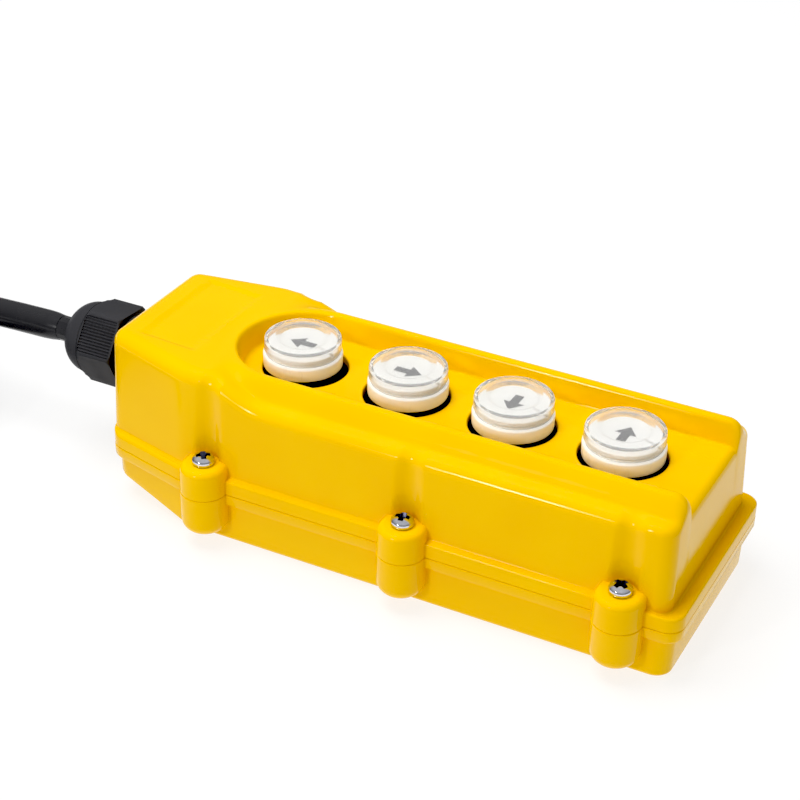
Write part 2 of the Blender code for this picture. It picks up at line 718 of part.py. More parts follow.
def build_gland_nut(finish):
    """The sealing nut: a hexagon at the housing's end and a dome towards the cord."""
    flats = NUT_ACROSS_FLATS
    rings = [
        nut_ring(NUT_BACK, 11.4 * MM), nut_ring(NUT_BACK, 15.4 * MM, flats),
        nut_ring(NUT_BACK - 0.6 * MM, 16 * MM, flats), nut_ring(NUT_FRONT + 1.8 * MM, 16 * MM, flats),
        nut_ring(NUT_FRONT, 14.4 * MM, flats), nut_ring(-142 * MM, 13.7 * MM), nut_ring(-147.4 * MM, 11.8 * MM),
        nut_ring(-151.6 * MM, 8.8 * MM), nut_ring(NUT_MOUTH, 6.2 * MM), nut_ring(NUT_MOUTH, 5.3 * MM),
        nut_ring(-150.2 * MM, 5.3 * MM), nut_ring(-144.5 * MM, 10.6 * MM), nut_ring(-136 * MM, 11.4 * MM),
    ]
    return loft("gland_nut", rings, finish, closed=True)


def build_gland(finishes):
    axis = (0.0, 0.0, GLAND_Z)
    bore = 6.4 * MM
    wall_face = FRONT_FOOT.gland
    build_gland_nut(finishes["nylon"])
    body = [
        (bore, -134.5 * MM), (10.8 * MM, -134.5 * MM), (10.8 * MM, -117.6 * MM), (15.2 * MM, -117.6 * MM),
        (15.2 * MM, wall_face - 1.8 * MM), (GLAND_THREAD, wall_face - 1.8 * MM), (GLAND_THREAD, -97 * MM),
        (bore, -97 * MM),
    ]
    turned("gland_body", body, axis, finishes["nylon"], axis="X", count=28, hollow=True)
    washer = [(GLAND_THREAD + GAP, wall_face - 1.5 * MM), (14.6 * MM, wall_face - 1.5 * MM)]
    washer += [(14.6 * MM, wall_face - GAP), (GLAND_THREAD + GAP, wall_face - GAP)]
    turned("gland_washer", washer, axis, finishes["rubber"], axis="X", count=24, hollow=True)
    inner_face = wall_face + WALL + GAP
    nut = [(GLAND_THREAD + GAP, inner_face), (15.5 * MM, inner_face), (15.5 * MM, inner_face + 4.5 * MM)]
    nut += [(GLAND_THREAD + GAP, inner_face + 4.5 * MM)]
    turned("gland_locknut", nut, axis, finishes["nylon"], axis="X", count=24, hollow=True)
    seal = [(5.1 * MM, -144 * MM), (9.4 * MM, -144 * MM), (10.2 * MM, -134.9 * MM), (5.1 * MM, -134.9 * MM)]
    turned("gland_seal", seal, axis, finishes["rubber"], axis="X", count=24, hollow=True)
    inside = [(CORD_SQUEEZED, NUT_MOUTH - 0.2 * MM), (CORD_SQUEEZED, -86 * MM)]
    turned("cord_inner", inside, axis, finishes["cord"], axis="X", count=12)


def build_cord(finishes):
    """The free cord: the stretch out of the gland, the coil, the end that leaves it, and its bare cores."""
    step = 2.2 * CORD_RADIUS
    tube("cord_run", smooth_path([Vector(p) * MM for p in ROUTE], step), CORD_RADIUS, finishes["cord"])
    inner, outer = COIL_INNER_TURN - CORD_RADIUS, COIL_OUTER_TURN + CORD_RADIUS
    section = [(inner, 0.0), (outer, 0.0), (outer, COIL_HEIGHT), (inner, COIL_HEIGHT)]
    turned("cord_coil", section, (*COIL_CENTRE, 0.0), finishes["cord"], hollow=True)
    tube("cord_end", smooth_path([Vector(p) * MM for p in TAIL], step), CORD_RADIUS, finishes["cord"])
    for number in range(CORE_COUNT):
        points = smooth_path(core_route(number), 3.2 * MM)
        tube(f"cord_core_{number + 1}", points, CORE_RADIUS, finishes["cores"][number], sides=2)


def core_route(number):
    """One bare core: out of the cord's cut end in a flat fan, down to the surface."""
    end = Vector(TAIL[-1]) * MM
    ahead = (end - Vector(TAIL[-2]) * MM).normalized()
    across = Vector((0.0, 0.0, 1.0)).cross(ahead)
    rank = number - (CORE_COUNT - 1) / 2
    # Each step of the fan: distance from the cut end, widening, and height below the cord's axis
    fan = [(1.1 * GAP, 1.0, -2.2), (9 * MM, 1.1, -3.2), (20 * MM, 1.5, -4.4), (31 * MM, 2.1, -4.4)]
    aside = across * rank * 2.05 * MM
    return [end + ahead * out + aside * wide + Vector((0, 0, fall * MM)) for out, wide, fall in fan]


# ---------------------------------------------------------------- the whole station

def make_finishes():
    brown, black, grey = (0.16, 0.05, 0.02), (0.01, 0.01, 0.01), (0.25, 0.25, 0.26)
    core_colours = [brown, black, grey, (0.02, 0.10, 0.45), (0.15, 0.45, 0.05)]
    return {
        "yellow": material("yellow plastic", (0.95, 0.60, 0.01), 0.28),
        "cream": material("cream plastic", (0.86, 0.80, 0.68), 0.35),
        "white": material("white legend plate", (0.88, 0.88, 0.86), 0.45),
        "clear": material("clear lens", (0.95, 0.95, 0.95), 0.08, transmission=0.9),
        "black": material("black plastic", (0.02, 0.02, 0.02), 0.40),
        "nylon": material("black nylon", (0.025, 0.025, 0.03), 0.50),
        "rubber": material("black rubber", (0.015, 0.015, 0.015), 0.75),
        "cord": material("cord sheath", (0.02, 0.02, 0.02), 0.50),
        "steel": material("plated steel", (0.65, 0.65, 0.66), 0.35, metallic=1.0),
        "zinc": material("bright zinc", (0.75, 0.76, 0.80), 0.18, metallic=1.0),
        "brass": material("brass", (0.75, 0.55, 0.22), 0.30, metallic=1.0),
        "cores": [material(f"core {i + 1}", colour, 0.5) for i, colour in enumerate(core_colours)],
    }


def main():
    clear_scene()
    finishes = make_finishes()
    build_front_cover(finishes["yellow"])
    build_rear_cover(finishes["yellow"])
    build_gasket(finishes["rubber"])
    build_cover_screws(finishes["zinc"])
    for number in range(4):
        centre = build_button(number, finishes)
        build_switch(number, centre, finishes)
    build_mounting_plate(finishes)
    build_gland(finishes)
    build_cord(finishes)


main()
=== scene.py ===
"""Studio view of a four-button pendant control station for a hoist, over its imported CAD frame.

Shapes are worked out in millimetres in the CAD frame (+X from the gland to the far end, +Z out through the
buttons) and written to Blender in metres.
"""

import json
import math

import bmesh
import bpy
import numpy as np
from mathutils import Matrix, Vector

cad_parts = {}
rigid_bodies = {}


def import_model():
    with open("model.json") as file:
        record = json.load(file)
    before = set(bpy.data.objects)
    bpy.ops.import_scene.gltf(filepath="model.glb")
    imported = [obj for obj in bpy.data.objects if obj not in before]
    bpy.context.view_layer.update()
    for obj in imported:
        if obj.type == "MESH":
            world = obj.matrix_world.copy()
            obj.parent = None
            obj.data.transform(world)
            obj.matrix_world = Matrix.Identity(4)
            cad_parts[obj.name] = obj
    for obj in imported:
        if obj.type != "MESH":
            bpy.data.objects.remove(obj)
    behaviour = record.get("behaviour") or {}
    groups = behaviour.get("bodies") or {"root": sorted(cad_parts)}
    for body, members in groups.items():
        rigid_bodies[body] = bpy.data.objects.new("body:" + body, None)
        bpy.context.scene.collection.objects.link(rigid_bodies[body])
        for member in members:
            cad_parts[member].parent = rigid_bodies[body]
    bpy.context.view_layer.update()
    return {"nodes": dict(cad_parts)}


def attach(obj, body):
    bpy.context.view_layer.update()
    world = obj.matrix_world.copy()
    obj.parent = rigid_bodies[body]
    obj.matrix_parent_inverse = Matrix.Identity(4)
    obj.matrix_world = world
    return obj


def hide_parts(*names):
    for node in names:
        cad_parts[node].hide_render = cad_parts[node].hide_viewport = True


for startup in list(bpy.data.objects):
    bpy.data.objects.remove(startup, do_unlink=True)

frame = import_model()

MM = 0.001

# ---------------------------------------------------------------- dimensions, in millimetres

FAR_END, GLAND_END = 110.0, -111.9
BELT_HALF = 41.2
TAPER_START, TAPER_SLOPE, TAPER_SOFT = -76.5, 0.2537, 2.5
PARTING, PART_GAP = 20.9, 0.03
FRONT_JOINT, REAR_JOINT = PARTING + PART_GAP, PARTING - PART_GAP
BELT_TOP, BELT_BOTTOM = 26.5, 16.6
BELT_ROUND, BELT_TAPER_ROUND, WALL_FOOT_ROUND, JOINT_BEVEL = 0.8, 1.3, 0.6, 0.15
WALL_FOOT = 28.2
WALL_HALF, WALL_DRAFT = 38.8, 0.052
WALL_FAR, WALL_GLAND = 105.0, -112.5
TROUGH_FLOOR, SHOULDER, CREST = 54.7, 56.4, 63.2
HEAD_TOP, HEAD_FALL = 65.2, 0.05
RAMP_HIGH, RAMP_LOW = -69.0, -44.5
SCREW_XS, SCREW_Y = (-65.5, 12.0, 89.5), 41.6
BOSS_RADIUS, BOSS_TOP, BOSS_BOTTOM, BOSS_ROUND, BOSS_BACK = 8.4, 31.9, 5.2, 2.4, 6.0
GROOVE_RADIUS, GROOVE_LIP = 5.6, 1.3
HOLE_XS, HOLE_RADIUS, HOLE_BEVEL = (-48.15, -8.05, 32.05, 72.15), 15.35, 0.35
HOLLOW_LOW, HOLLOW_HIGH = (-80, -33, 10), (101, 33, 52.1)
# Each button's own small offset in its hole, along the housing and outwards
PLAY_ALONG = (-1.1, 0.4, 0.1, 0.1)
PLAY_OUT = (0.5, 0.6, 0.0, -0.4)
GLAND_Z = 41.5
CORD_RADIUS, CORD_SQUEEZED = 5.5, 4.8


# ---------------------------------------------------------------- meshes

SHARP_ANGLE, COVER_SHARP_ANGLE = 32.0, 34.0
MERGE_DISTANCE = 0.002


def mesh_object(name, points, faces):
    """A smooth-shaded mesh from points in millimetres."""
    mesh = bpy.data.meshes.new(name)
    corners = [tuple(float(c) * MM for c in p) for p in points]
    mesh.from_pydata(corners, [], [tuple(map(int, f)) for f in faces])
    mesh.validate()
    mesh.shade_smooth()
    obj = bpy.data.objects.new(name, mesh)
    bpy.context.scene.collection.objects.link(obj)
    return obj


def tidy(obj, sharp=SHARP_ANGLE):
    """Merges doubled points, turns the faces outwards and marks the sharp edges."""
    edit = bmesh.new()
    edit.from_mesh(obj.data)
    bmesh.ops.remove_doubles(edit, verts=edit.verts, dist=MERGE_DISTANCE * MM)
    bmesh.ops.recalc_face_normals(edit, faces=edit.faces)
    edit.to_mesh(obj.data)
    edit.free()
    obj.data.shade_smooth()
    obj.data.set_sharp_from_angle(angle=math.radians(sharp))
    return obj


def band(low, high, count):
    """The faces between two rings of points, from each ring's first point."""
    return [(low + i, low + (i + 1) % count, high + (i + 1) % count, high + i) for i in range(count)]


def loft(name, rings, closed=False, sharp=SHARP_ANGLE):
    """A solid through rings of equal point counts, capped at both ends unless it's closed on itself."""
    count = len(rings[0])
    points = [p for ring in rings for p in ring]
    faces = []
    for level in range(len(rings) - (0 if closed else 1)):
        faces += band(level * count, ((level + 1) % len(rings)) * count, count)
    if not closed:
        faces += [tuple(range(count)), tuple(range(len(points) - count, len(points)))]
    return tidy(mesh_object(name, points, faces), sharp=sharp)


def circle(radius, centre, axis, count):
    ring = []
    for i in range(count):
        turn = 2 * math.pi * i / count
        a, b = radius * math.cos(turn), radius * math.sin(turn)
        offset = (a, b, 0.0) if axis == "Z" else (0.0, a, b)
        ring.append(tuple(c + o for c, o in zip(centre, offset)))
    return ring


def turned(name, profile, centre, axis="Z", count=96, closed=False):
    """A turned solid from (radius, distance along the axis) pairs."""
    rings = []
    for radius, along in profile:
        offset = (0.0, 0.0, along) if axis == "Z" else (along, 0.0, 0.0)
        rings.append(circle(max(radius, 0.05), tuple(c + o for c, o in zip(centre, offset)), axis, count))
    return loft(name, rings, closed=closed)


def rounded(profile, radius, steps=4):
    """A profile with its inner corners rounded; radius is one number or one for each corner."""
    radii = radius if isinstance(radius, (list, tuple)) else [radius] * (len(profile) - 2)
    out = [profile[0]]
    for before, corner, after, r in zip(profile, profile[1:], profile[2:], radii):
        back, ahead = np.subtract(before, corner), np.subtract(after, corner)
        long_back, long_ahead = np.linalg.norm(back), np.linalg.norm(ahead)
        if r <= 0 or min(long_back, long_ahead) < 1e-6:
            out.append(corner)
            continue
        half = math.acos(max(-1.0, min(1.0, float(np.dot(back, ahead) / long_back / long_ahead)))) / 2
        reach = min(r / math.tan(half), 0.49 * long_back, 0.49 * long_ahead)
        start, end = corner + back / long_back * reach, corner + ahead / long_ahead * reach
        for i in range(steps + 1):
            t = i / steps
            # A quadratic through the corner's tangent points is close to an arc.
            out.append(tuple((1 - t) ** 2 * start + 2 * t * (1 - t) * np.array(corner) + t * t * end))
    out.append(profile[-1])
    return [tuple(map(float, p)) for p in out]


def boolean(target, other, operation):
    """Applies a Boolean at once and removes the other object."""
    step = target.modifiers.new(operation, "BOOLEAN")
    step.operation, step.solver, step.object = operation, "MANIFOLD", other
    graph = bpy.context.evaluated_depsgraph_get()
    graph.update()
    made = bpy.data.meshes.new_from_object(target.evaluated_get(graph))
    target.modifiers.clear()
    target.data = made
    bpy.data.objects.remove(other, do_unlink=True)


def paint(obj, material):
    obj.data.materials.clear()
    obj.data.materials.append(material)


def own(piece, body, slot, material, *nodes):
    """Puts a finished piece on its body and in its material, in place of CAD nodes. The slot is not used."""
    paint(piece, material)
    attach(piece, body)
    if nodes:
        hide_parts(*nodes)


def between(a, b, c, d, t):
    """A point between b and c on the Catmull-Rom curve through four points, as t goes from 0 to 1."""
    bend = (2 * a - 5 * b + 4 * c - d) * t**2 + (3 * b - 3 * c + d - a) * t**3
    return 0.5 * (2 * b + (c - a) * t + bend)


def smooth_line(points, step):
    """Points about every step along a smooth curve through the given ones."""
    knots = [Vector(p) for p in points]
    knots = [2 * knots[0] - knots[1], *knots, 2 * knots[-1] - knots[-2]]
    fine = []
    for a, b, c, d in zip(knots, knots[1:], knots[2:], knots[3:]):
        fine += [between(a, b, c, d, i / 24) for i in range(24)]
    fine.append(knots[-2])
    kept, run = [fine[0]], 0.0
    for last, point in zip(fine, fine[1:]):
        run += (point - last).length
        if run >= step:
            kept.append(point)
            run = 0.0
    if (kept[-1] - fine[-1]).length < 0.3 * step:
        kept.pop()
    return kept + [fine[-1]]


def curve_through(table):
    """A smooth monotone function through (x, y) pairs."""
    xs, ys = (np.array(column, float) for column in zip(*table))
    slopes = np.diff(ys) / np.diff(xs)
    tangent = np.zeros(len(xs))
    for i in range(1, len(xs) - 1):
        if slopes[i - 1] * slopes[i] > 0:
            tangent[i] = 2 * slopes[i - 1] * slopes[i] / (slopes[i - 1] + slopes[i])

    def value(x):
        x = np.clip(x, xs[0], xs[-1])
        i = np.clip(np.searchsorted(xs, x) - 1, 0, len(xs) - 2)
        h = xs[i + 1] - xs[i]
        t = (x - xs[i]) / h
        return (
            (1 + 2 * t) * (1 - t) ** 2 * ys[i] + t * (1 - t) ** 2 * h * tangent[i]
            + t * t * (3 - 2 * t) * ys[i + 1] + t * t * (t - 1) * h * tangent[i + 1]
        )

    return value


def ease(share):
    share = np.clip(share, 0.0, 1.0)
    return share * share * (3 - 2 * share)


def round_min(a, b, radius):
    """The smaller of two distances to walls, with the edge between the walls rounded."""
    both = (a < radius) & (b < radius)
    rounded_edge = radius - np.hypot(np.maximum(radius - a, 0), np.maximum(radius - b, 0))
    return np.where(both, rounded_edge, np.minimum(a, b))


# ---------------------------------------------------------------- housing outline

def inside(x, y, half, far, gland, corner=5.3, grooves=True):
    """How far points are inside the housing's outline at one level."""
    past = TAPER_START - x
    soft = np.clip(past + TAPER_SOFT, 0, 2 * TAPER_SOFT) ** 2 / (4 * TAPER_SOFT)
    bend = np.where(past > TAPER_SOFT, past, soft)
    side = (half - TAPER_SLOPE * bend - np.abs(y)) / np.where(past > 0, math.hypot(1, TAPER_SLOPE), 1.0)
    end = np.minimum(far - x, x - gland)
    depth = round_min(side, end, corner)
    if grooves:
        for screw in SCREW_XS:
            depth = round_min(depth, np.hypot(x - screw, np.abs(y) - SCREW_Y) - GROOVE_RADIUS, GROOVE_LIP)
    return depth


def edge_from(start, along, **outline):
    """Where rays from start leave the outline."""
    low, high = np.zeros(len(start)), np.full(len(start), 95.0)
    for _ in range(44):
        middle = (low + high) / 2
        point = start + along * middle[:, None]
        within = inside(point[:, 0], point[:, 1], **outline) > 0
        low, high = np.where(within, middle, low), np.where(within, high, middle)
    return low


def steps_between(low, high, coarse, fine, marks, reach):
    """Numbers from low to high, closer together near the marks."""
    values, x = [low], low
    while x < high:
        near = min((abs(x - mark) for mark in marks), default=99)
        x += fine if near < reach else coarse
        values.append(min(x, high))
    return values


# ---------------------------------------------------------------- front cover

# Rows past STRAIGHT_END spread to follow the wall's lean, and the end's edge has its own roundings.
STRAIGHT_END = 97.0
TOP_FAR = WALL_FAR - WALL_DRAFT * 14
FLOOR_END_ROUND, CREST_END_ROUND = 3.3, 5.6
END_BLEND_START, END_BLEND_LENGTH = 88.0, 9.0
SHOULDER_ROUND, HEAD_EXTRA_ROUND = 4.9, 0.6
RIDGE_CREST = 26.45

LABEL_NEAR_GLAND, LABEL_NEAR_RAMP, LABEL_HALF = -101.6, -80.3, 22.9
LABEL_DEPTH = 0.5

# The guard ridge, as (distance from the trough's centre line, height). As far as the crest the height is
# in millimetres over the floor, and past it the share of the way to the shoulder.
RIDGE_INNER = curve_through([
    (0, 0.0), (21.2, 0.0), (22.0, 0.35), (22.35, 1.3), (23.9, 7.2), (24.25, 7.95), (24.7, 8.35), (25.4, 8.5),
    (26.5, 8.5),
])
RIDGE_OUTER = curve_through([
    (26.4, 0.0), (27.0, 0.015), (27.5, 0.065), (28.1, 0.16), (29.0, 0.33), (30.0, 0.54), (31.0, 0.76),
    (31.7, 0.88), (32.5, 0.955), (33.3, 0.99), (34.2, 1.0),
])
# Where each row has its points, closest together where the ridge bends most.
INNER_STEPS = [
    0, 9, 16, 19.5, 20.8, 21.2, 21.5, 21.8, 22.05, 22.25, 22.4, 22.8, 23.3, 23.75, 23.95, 24.15, 24.35, 24.6,
    24.9, 25.3, 25.8, 26.3, 26.7, 27.0, 27.3,
]
OUTER_STEPS = [27.6, 27.9, 28.2, 28.6, 29.0, 29.5, 30.0, 30.6, 31.1, 31.5, 31.9, 32.5, 33.3, 34.0]
ROW_LENGTH, ROW_FILLET, FLAT_STEPS = 37.4, 5.5, 22


def head_height(x):
    return np.maximum(HEAD_TOP - HEAD_FALL * (x - GLAND_END), CREST)


def ramp(x):
    """0 on the head, 1 on the lower shoulder."""
    return ease((x - RAMP_HIGH) / (RAMP_LOW - RAMP_HIGH))


def rim_half(x):
    """The top's half width: the walls lean in, and the head is taller."""
    return WALL_HALF - WALL_DRAFT * (SHOULDER - 3 - WALL_FOOT + 8 * (1 - ramp(x)))


def edge_radius(x):
    return SHOULDER_ROUND + HEAD_EXTRA_ROUND * (1 - ramp(x))


def label_recess(x, y):
    """A shallow pocket for a label, with soft edges."""
    edge = np.minimum(np.minimum(x - LABEL_NEAR_GLAND, LABEL_NEAR_RAMP - x), LABEL_HALF - np.abs(y))
    return LABEL_DEPTH * ease((edge + 0.3) / 0.9)


def top_height(x, y):
    """The front's height: trough, ridge, shoulder and head, with the edge to the walls rounded off."""
    away = np.hypot(np.minimum(x - HOLE_XS[0], 0), y)
    outer = head_height(x) + (SHOULDER - head_height(x)) * ramp(x)
    inner = TROUGH_FLOOR + RIDGE_INNER(away)
    height = np.where(away < RIDGE_CREST, inner, CREST + (outer - CREST) * RIDGE_OUTER(away))
    height = height - label_recess(x, y)
    depth = inside(x, y, rim_half(x), TOP_FAR, WALL_GLAND)
    end_radius = FLOOR_END_ROUND + (CREST_END_ROUND - FLOOR_END_ROUND) * ease((height - SHOULDER) / 6.0)
    near_end = ease((x - END_BLEND_START) / END_BLEND_LENGTH)
    radius = edge_radius(x) + (end_radius - edge_radius(x)) * near_end
    lost = np.clip(radius - depth, 0, radius)
    return height - (radius - np.sqrt(np.maximum(radius**2 - lost**2, 0)))


def row_lines():
    """Each row's start on the trough's centre line and its direction, round the trough as a U."""
    end = [TOP_FAR - CREST_END_ROUND * (1 - math.sin(math.radians(a))) for a in range(90, -1, -6)]
    marks = [s + o for s in SCREW_XS for o in (-4.3, 0, 4.3)]
    body = steps_between(HOLE_XS[0], STRAIGHT_END, 3.0, 0.55, marks, 3.2)
    near_end = steps_between(STRAIGHT_END, min(end), 0.8, 0.8, [], 0)
    xs = sorted(set(round(x, 4) for x in body + near_end + end), reverse=True)
    rays = steps_between(0, 90, 1.4, 0.6, [17, 20, 23, 26, 29, 32, 37, 62, 65, 68], 2.0)
    near = [((x, 0.0), (0.0, -1.0)) for x in xs]
    turns = [math.radians(a) for a in rays[1:]]
    near += [((HOLE_XS[0], 0.0), (-math.sin(turn), -math.cos(turn))) for turn in turns]
    rows = near + [((x, 0.0), (dx, -dy)) for (x, _), (dx, dy) in near[-2::-1]]
    starts, ways = zip(*rows)
    return np.array(starts), np.array(ways)


def stretched(x, far):
    """Rows past STRAIGHT_END spread so that the last one reaches the outline's far end."""
    share = np.clip((x - STRAIGHT_END) / (TOP_FAR - STRAIGHT_END), 0, 1)
    return np.where(x <= STRAIGHT_END, x, STRAIGHT_END + share * (far - 1e-4 - STRAIGHT_END))


def outline_at(rows, half, far, gland, corner=5.3, grooves=True):
    """The rows' ends in one level's outline."""
    starts, ways = rows
    starts = np.column_stack([stretched(starts[:, 0], far), starts[:, 1]])
    reach = edge_from(starts, ways, half=half, far=far, gland=gland, corner=corner, grooves=grooves)
    return starts + ways * reach[:, None]


def row_distances(reach):
    """One row's points, as distances from its start: trough, ridge, shoulder and rounded edge."""
    first = INNER_STEPS[-1]
    squeeze = min(1.0, (reach - first) / (ROW_LENGTH - first))
    near = first + (np.array(OUTER_STEPS, float) - first) * squeeze
    fillet = ROW_FILLET * (1 - np.sin(np.radians(np.arange(0, 91, 7.5))))
    edge = reach - fillet * squeeze
    flat_start = min(near[-1], edge[0] - 0.02)
    if near[-1] > edge[0]:
        near = first + (near - first) * (edge[0] - 0.5 - first) / (near[-1] - first)
        flat_start = near[-1]
    flat = np.linspace(flat_start, edge[0], FLAT_STEPS)[1:-1]
    return np.concatenate([np.array(INNER_STEPS, float), near, flat, edge])


def row_reaches(starts, ways):
    """How far each row runs to the wall. The head's width depends on x, so the row's own end decides it."""
    reach = edge_from(starts, ways, half=rim_half(starts[:, 0]), far=TOP_FAR, gland=WALL_GLAND)
    for _ in range(3):
        ends = starts + ways * reach[:, None]
        reach = edge_from(starts, ways, half=rim_half(ends[:, 0]), far=TOP_FAR, gland=WALL_GLAND)
    return reach


def front_surface():
    """Points and faces of the front cover's outside, closed underneath by one flat face."""
    rows = row_lines()
    starts, ways = rows
    starts = np.column_stack([stretched(starts[:, 0], TOP_FAR), starts[:, 1]])
    columns = np.array([row_distances(reach) for reach in row_reaches(starts, ways)])
    plan = starts[:, None, :] + ways[:, None, :] * columns[:, :, None]
    height = top_height(plan[..., 0], plan[..., 1])
    count, width = columns.shape
    points = [tuple(p) for p in np.dstack([plan, height]).reshape(-1, 3)]
    faces = []
    for base in range(0, (count - 1) * width, width):
        faces += band(base, base + width, width)[:-1]
    rim = [i * width + width - 1 for i in range(count)]
    rim += [(count - 1) * width + j for j in range(width - 2, -1, -1)] + list(range(1, width - 1))
    top = np.array([points[i] for i in rim])
    levels = [rim]
    for ring in wall_rings(rows, top, count):
        levels.append(list(range(len(points), len(points) + len(rim))))
        points += [tuple(p) for p in ring]
    for upper, lower in zip(levels, levels[1:]):
        size = len(rim)
        faces += [(upper[i], upper[(i + 1) % size], lower[(i + 1) % size], lower[i]) for i in range(size)]
    faces.append(tuple(levels[-1]))
    return points, faces


def across_end(top, count, ends, far):
    """The points across the far end at one level, between the first and last rows' ends."""
    last, share = ends[count - 1], top[count:, 1] / abs(top[count - 1, 1])
    return np.column_stack([np.full(len(share), far), share * abs(last[1])])


def wall_rings(rows, top, count):
    """The wall, the lip and the belt, ring by ring, down to the joint between the covers."""
    rings = []
    for share in np.linspace(0, 1, 13)[1:]:
        z = top[:, 2] + (WALL_FOOT - top[:, 2]) * share
        far = TOP_FAR + (WALL_FAR - TOP_FAR) * share
        half = (rim_half(top[:count, 0]) * (1 - share)) + WALL_HALF * share
        ends = outline_at(rows, half, far, WALL_GLAND, grooves=share < 0.97)
        rings.append(np.column_stack([np.vstack([ends, across_end(top, count, ends, far)]), z]))
    foot = outline_at(rows, WALL_HALF, WALL_FAR, WALL_GLAND, grooves=False)
    belt = outline_at(rows, BELT_HALF, FAR_END, GLAND_END, corner=6.0, grooves=False)
    foot = np.vstack([foot, across_end(top, count, foot, WALL_FAR)])
    belt = np.vstack([belt, across_end(top, count, belt, FAR_END)])
    return rings + lip_rings(foot, belt)


def lip_rings(foot, belt):
    """From the wall's foot across the lip, rounded into both, and down the belt to the joint."""
    rings = []
    lip = np.linalg.norm(belt - foot, axis=1)
    far_share = ease((foot[:, 0] - 96.0) / 8.0)
    inner_z = WALL_FOOT - 1.3 - 1.6 * far_share
    outer_z = BELT_TOP - 0.3 * far_share
    taper_share = 1 - ease((foot[:, 0] + 78) / 16)
    edge = np.minimum(BELT_ROUND + BELT_TAPER_ROUND * taper_share, 0.6 * lip)
    notch = np.minimum(WALL_FOOT_ROUND, 0.3 * lip)
    for t in np.radians([0, 20, 40, 60, 80, 90]):
        out = notch * (1 - np.cos(t))
        z = inner_z + notch * (1 - np.sin(t))
        rings.append(lip_ring(foot, belt, out / lip, z))
    for t in np.radians([0, 15, 30, 45, 60, 75, 90]):
        out = lip - edge + edge * np.sin(t)
        z = outer_z - edge * (1 - np.cos(t))
        rings.append(lip_ring(foot, belt, out / lip, z))
    bevelled = np.full(len(lip), FRONT_JOINT + JOINT_BEVEL)
    rings.append(lip_ring(foot, belt, np.ones(len(lip)), bevelled))
    rings.append(lip_ring(foot, belt, 1 - JOINT_BEVEL / lip, np.full(len(lip), FRONT_JOINT)))
    return rings


def lip_ring(foot, belt, share, z):
    """A ring part of the way from the wall's foot out to the belt."""
    return np.column_stack([foot + (belt - foot) * np.asarray(share)[:, None], z])


def boss_ring(screw, side, radius, z):
    """A half round towards the outside with straight sides back into the wall."""
    ring = []
    for t in np.linspace(0, math.pi, 41):
        ring.append((screw + radius * math.cos(t), side * (SCREW_Y + radius * math.sin(t)), z))
    back = side * (SCREW_Y - BOSS_BACK)
    return ring + [(screw - radius, back, z), (screw + radius, back, z)]


def boss(name, screw, side, profile):
    """A boss from (inset, height) pairs."""
    return loft(name, [boss_ring(screw, side, BOSS_RADIUS - inset, z) for inset, z in profile])


def each_screw():
    """Each screw's number, its place along the housing and its side, near side first."""
    places = [(side, x) for side in (-1, 1) for x in SCREW_XS]
    return [(i + 1, x, side) for i, (side, x) in enumerate(places)]


def box_cutter(name, low, high):
    (x0, y0, z0), (x1, y1, z1) = low, high
    rings = [[(x0, y0, z), (x1, y0, z), (x1, y1, z), (x0, y1, z)] for z in (z0, z1)]
    return loft(name, rings)


def build_front_cover(finish):
    """The shell with its six bosses, hollowed out inside and cut through for the buttons."""
    points, faces = front_surface()
    cover = tidy(mesh_object("front_shell", points, faces))
    profile = [(0.12, FRONT_JOINT), (0.0, FRONT_JOINT + 0.12), (0.1, BOSS_TOP - BOSS_ROUND)]
    for turn in np.radians(range(15, 91, 15)):
        z = BOSS_TOP - BOSS_ROUND * (1 - math.sin(turn))
        profile.append((0.1 + BOSS_ROUND * (1 - math.cos(turn)), z))
    for _, screw, side in each_screw():
        boolean(cover, boss("boss", screw, side, profile), "UNION")
    boolean(cover, box_cutter("hollow", HOLLOW_LOW, HOLLOW_HIGH), "DIFFERENCE")
    hole = [(HOLE_RADIUS, TROUGH_FLOOR - 9.7), (HOLE_RADIUS, TROUGH_FLOOR - HOLE_BEVEL)]
    hole += [(HOLE_RADIUS + HOLE_BEVEL, TROUGH_FLOOR), (HOLE_RADIUS + 0.5, TROUGH_FLOOR + 3.3)]
    for x in HOLE_XS:
        boolean(cover, turned("hole", hole, (x, 0, 0), count=128), "DIFFERENCE")
    cover.data.set_sharp_from_angle(angle=math.radians(COVER_SHARP_ANGLE))
    own(cover, "station", "yellow_housing", finish["yellow"], "front_cover")


# ---------------------------------------------------------------- rear cover

REAR_HALF, REAR_FAR, REAR_GLAND, REAR_CORNER = 38.9, 106.9, -110.3, 5.6
REAR_SPLIT, REAR_ROUND = 9.0, 2.2
# The back lifts towards the gland from here, by this much a millimetre.
BACK_LIFT_START, BACK_LIFT_SLOPE = -74.4, 0.25


def outline(half, far, gland, corner, out=0.0):
    """What inside() takes for an outline, moved outwards by out all round."""
    return dict(half=half + out, far=far + out, gland=gland - out, corner=corner)


